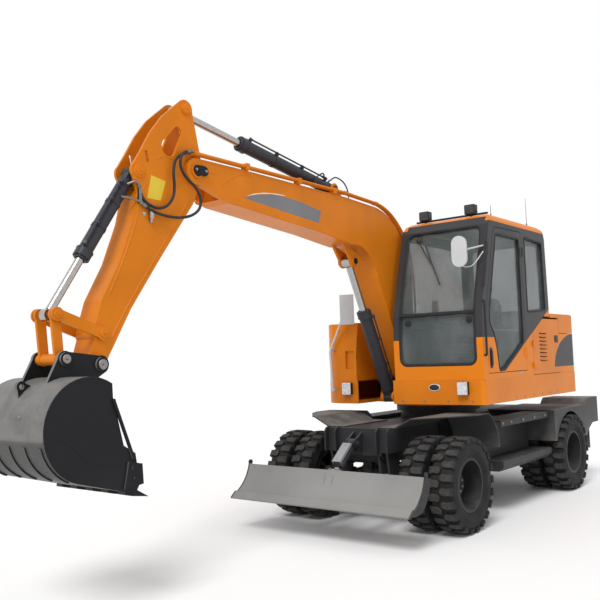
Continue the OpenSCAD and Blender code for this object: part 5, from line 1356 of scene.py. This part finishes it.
def bucket_wear(paint):
    """1 on the bowl's outer back, where earth has taken the paint off, 0 on the sides."""
    normal = paint.node("NewGeometry", {}, {}, "Normal")
    sideways = paint.node("SeparateXYZ", {}, {0: normal}, "Y")
    x, z = paint.axis("X") - (SLEW_X + BOWL_MIDDLE.x), paint.axis("Z") - BOWL_MIDDLE.y
    radius = (x * x + z * z).root()
    outer = radius.above(BOWL_R - 0.010, 0.003) * (1 - sideways.size().above(0.5, 0.1))
    streaks = paint.noise(3.2, 5.0, 0.6).step(0.22, 0.62)
    upper_back = 0.42 + 0.58 * (paint.axis("Z") - 1.0).above(0.165, 0.02)
    return outer * upper_back * (0.34 + 0.60 * streaks)


bucket_paint = painted("bucket_paint", tint(0.016, 0.0165, 0.019), rough=0.48, coat=0.04, dust=0.10,
                       second=tint(0.200, 0.196, 0.188), where=bucket_wear)
finish_node("bucket", bucket_paint, 0.003)
bucket_pins = ((PIN_BUCKET, 0.171, 0.036), (PIN_LINK_LOW, 0.171, 0.031))
piece("bucket_pin_caps", caps(bucket_pins), bolt_steel, "bucket")
rocker_pins = ((PIN_LINK_TOP, 0.121, 0.030), (PIN_ROCKER, 0.121, 0.030))
piece("rocker_pin_caps", caps(rocker_pins), equipment_paint, "rocker")


def off_bowl(angle):
    """The way out from the bowl's middle at an angle in degrees."""
    return Vector((math.cos(math.radians(angle)), 0, math.sin(math.radians(angle))))


def on_bowl(angle, y, out=0.0):
    """A point of the bowl's back at an angle in degrees, out from its plate."""
    return on_equipment(BOWL_MIDDLE + (BOWL_R + out) * off_bowl(angle).xz, y)


# Bolts of the back, a weld line across it and round the bowl's edges, and the side seams
BOLT_ANGLE, SEAM_ANGLE, SEAM_HALF = 17, -8, 0.385
heads = [hexagon_head(on_bowl(BOLT_ANGLE, y), off_bowl(BOLT_ANGLE), 0.018) for y in (-0.12, 0.12)]
piece("bucket_bolts", heads, bolt_steel, "bucket")
across = [on_bowl(SEAM_ANGLE, -SEAM_HALF + 2 * SEAM_HALF * k / 10) for k in range(11)]
welds = [bead(across, 0.0055, 0.0030, off_bowl(SEAM_ANGLE), closed=False)]
SIDE_SEAM = [(5.090, 1.205, 0), (4.960, 1.140, 0), (4.840, 1.040, 0), (4.720, 0.985, 0),
             (4.600, 0.990, 0)]
for side, away, _ in SIDES:
    rim = [on_bowl(a, side * (BUCKET_HALF - 0.001), -0.008) for a in range(118, -73, -6)]
    welds.append(bead(rim, 0.0055, 0.0035, away, closed=False))
    seam = [on_equipment(p, side * BUCKET_HALF) for p in eased(SIDE_SEAM)]
    welds.append(bead(seam, 0.0040, 0.0022, away, closed=False))
piece("bucket_welds", welds, bucket_paint, "bucket")


# Cylinders
# Honed barrels in dark paint with a threaded gland ring at the rod's end, welded ports and
# a steel pipe along each barrel to its far end.

BLADE_FOOT, BLADE_EYE = (1.690, 0.800), (1.990, 0.560)
# Each (name, foot pin, rod's pin, mid plane, barrel's and rod's radius, barrel's length, piped)
CYLINDERS = (
    ("boom_cylinder", (0.690, 1.180), PIN_BOOM_CYLINDER, BOOM_Y, 0.066, 0.038, 1.000, True),
    ("arm_cylinder", PIN_ARM_CYLINDER, PIN_ARM_TAIL, BOOM_Y, 0.058, 0.032, 1.310, True),
    ("bucket_cylinder", PIN_BUCKET_CYLINDER, PIN_LINK_TOP, BOOM_Y, 0.052, 0.030, 0.800, True),
    ("blade_cylinder", BLADE_FOOT, BLADE_EYE, 0.0, 0.044, 0.024, 0.312, False),
)
NEAR_PORT, PIPE_R, BAND_HALF = 0.140, 0.008, 0.012


def rod_axes(foot, eye):
    """The way from a cylinder's foot to its rod's eye, and the way up across it."""
    ahead = Vector((eye[0] - foot[0], 0, eye[1] - foot[1])).normalized()
    return ahead, Vector((-ahead.z, 0, ahead.x))


for name, foot, eye, y, barrel_r, rod_r, reach, piped in CYLINDERS:
    start = at(foot[0], y, foot[1])
    ahead, above = rod_axes(foot, eye)
    flush, ring_r = barrel_r * 0.99, barrel_r + 0.0115
    gland_ring = ((reach - 0.066, flush), (reach - 0.064, ring_r), (reach - 0.056, ring_r),
                  (reach - 0.052, flush))
    gland = [turned_part(start, ahead, gland_ring, 32)]
    if piped:
        wiper_r, inner_r = barrel_r * 0.92, barrel_r * 0.84
        wiper_ring = ((reach - 0.002, wiper_r), (reach + 0.010, wiper_r), (reach + 0.014, inner_r),
                      (reach + 0.014, rod_r + 0.004), (reach + 0.004, rod_r + 0.0015))
        gland.append(turned_part(start, ahead, wiper_ring, 32))
        screw_r = barrel_r - 0.003
        screws = hoop(start + ahead * (reach - 0.001), above * screw_r, Vector(LEFT) * screw_r, 8)
        gland += [hexagon_head(spot, ahead, 0.011) for spot in screws]
        port_side = (above * 0.75 + Vector(LEFT) * 0.66).normalized()
        port = ((barrel_r - 0.006, 0.017), (barrel_r + 0.030, 0.017), (barrel_r + 0.034, 0.013))
        far_port = reach - 0.085
        gland += [turned_part(start + ahead * along, port_side, port, 18)
                  for along in (NEAR_PORT, far_port)]
        beside = start + port_side * (barrel_r + 0.022)
        pipe = [beside + ahead * along
                for along in (NEAR_PORT + 0.050, NEAR_PORT + 0.200, far_port - 0.100, far_port)]
        gland.append(tube(pipe, PIPE_R))
        gland.append(turned_part(pipe[0], -ahead, ((-0.004, 0.013), (0.018, 0.013), (0.022, 0.010)),
                                 6))
        for share in (0.38, 0.66):
            middle = start + ahead * (reach * share)
            band = ((-BAND_HALF, barrel_r - 0.001), (-BAND_HALF, barrel_r + 0.004),
                    (BAND_HALF, barrel_r + 0.004), (BAND_HALF, barrel_r - 0.001))
            gland.append(turned_part(middle, ahead, band, 36))
            gland.append(block(middle + port_side * (barrel_r + 0.014), (0.026, 0.034, 0.034),
                               0.003, (ahead, port_side.cross(ahead), port_side)))
    piece(name + "_gland", gland, cylinder_paint, name + "_tube")


# Hood, housing and blade fittings
# A grab handle on the engine hood, filler caps on the right housing, round plugs over
# the counterweight's anchors, and a bent cover over the blade's cylinder.

handle = [(-1.612, -0.100, 1.800), (-1.636, -0.098, 1.800), (-1.646, -0.070, 1.800),
          (-1.646, 0.070, 1.800), (-1.636, 0.098, 1.800), (-1.612, 0.100, 1.800)]
HANDLE_FOOT = ((-0.001, 0.017), (0.004, 0.017), (0.006, 0.014))
feet = [turned_part(at(-1.614, y, 1.800), BACK, HANDLE_FOOT, 16) for y in (-0.100, 0.100)]
piece("hood_handle", [tube(eased(route(handle), 5), 0.009)] + feet, black_plastic, "engine_hood")
ANCHOR_X, ANCHOR_Z, BODY_TOP = -1.620, 1.240, 1.975
PLUG = ((-0.002, 0.036), (0.005, 0.036), (0.008, 0.031), (0.008, 0.016), (0.005, 0.014))
plugs = [turned_part(at(ANCHOR_X, y, ANCHOR_Z), BACK, PLUG, 28) for y in (-0.42, 0.42)]
piece("counterweight_plugs", plugs, black_paint, "upper")
fillers = []
for x, y, radius in ((0.240, -0.780, 0.050), (-0.080, -0.800, 0.036)):
    foot, skirt = at(x, y, BODY_TOP), radius * 1.18
    cap = ((-0.002, skirt), (0.004, skirt), (0.006, radius), (0.026, radius),
           (0.030, radius * 0.86))
    fillers.append(turned_part(foot, RISE, cap, 30))
    fillers.append(block(foot + Vector((0, 0, 0.032)), (radius * 1.5, 0.012, 0.010), 0.002))
piece("filler_caps", fillers, black_plastic, "upper")
ahead, up = rod_axes(BLADE_FOOT, BLADE_EYE)
COVER_RISE, COVER_ALONG, COVER_LONG = 0.066, 0.185, 0.240
cover_start = at(BLADE_FOOT[0], 0.0, BLADE_FOOT[1]) + up * COVER_RISE
cover_middle = cover_start + ahead * COVER_ALONG
cover = [block(cover_middle, (COVER_LONG, 0.090, 0.006), 0.002, (ahead, LEFT, up))]
cover += [block(cover_middle + Vector((0, y, 0)) - up * 0.012, (COVER_LONG, 0.005, 0.026), 0.0015,
                (ahead, LEFT, up)) for y in (0.043, -0.043)]
cover += [hexagon_head(cover_start + ahead * along + up * 0.003, up, 0.013)
          for along in (0.095, 0.275)]
piece("blade_cylinder_cover", cover, plate_paint, "blade_cylinder_tube")
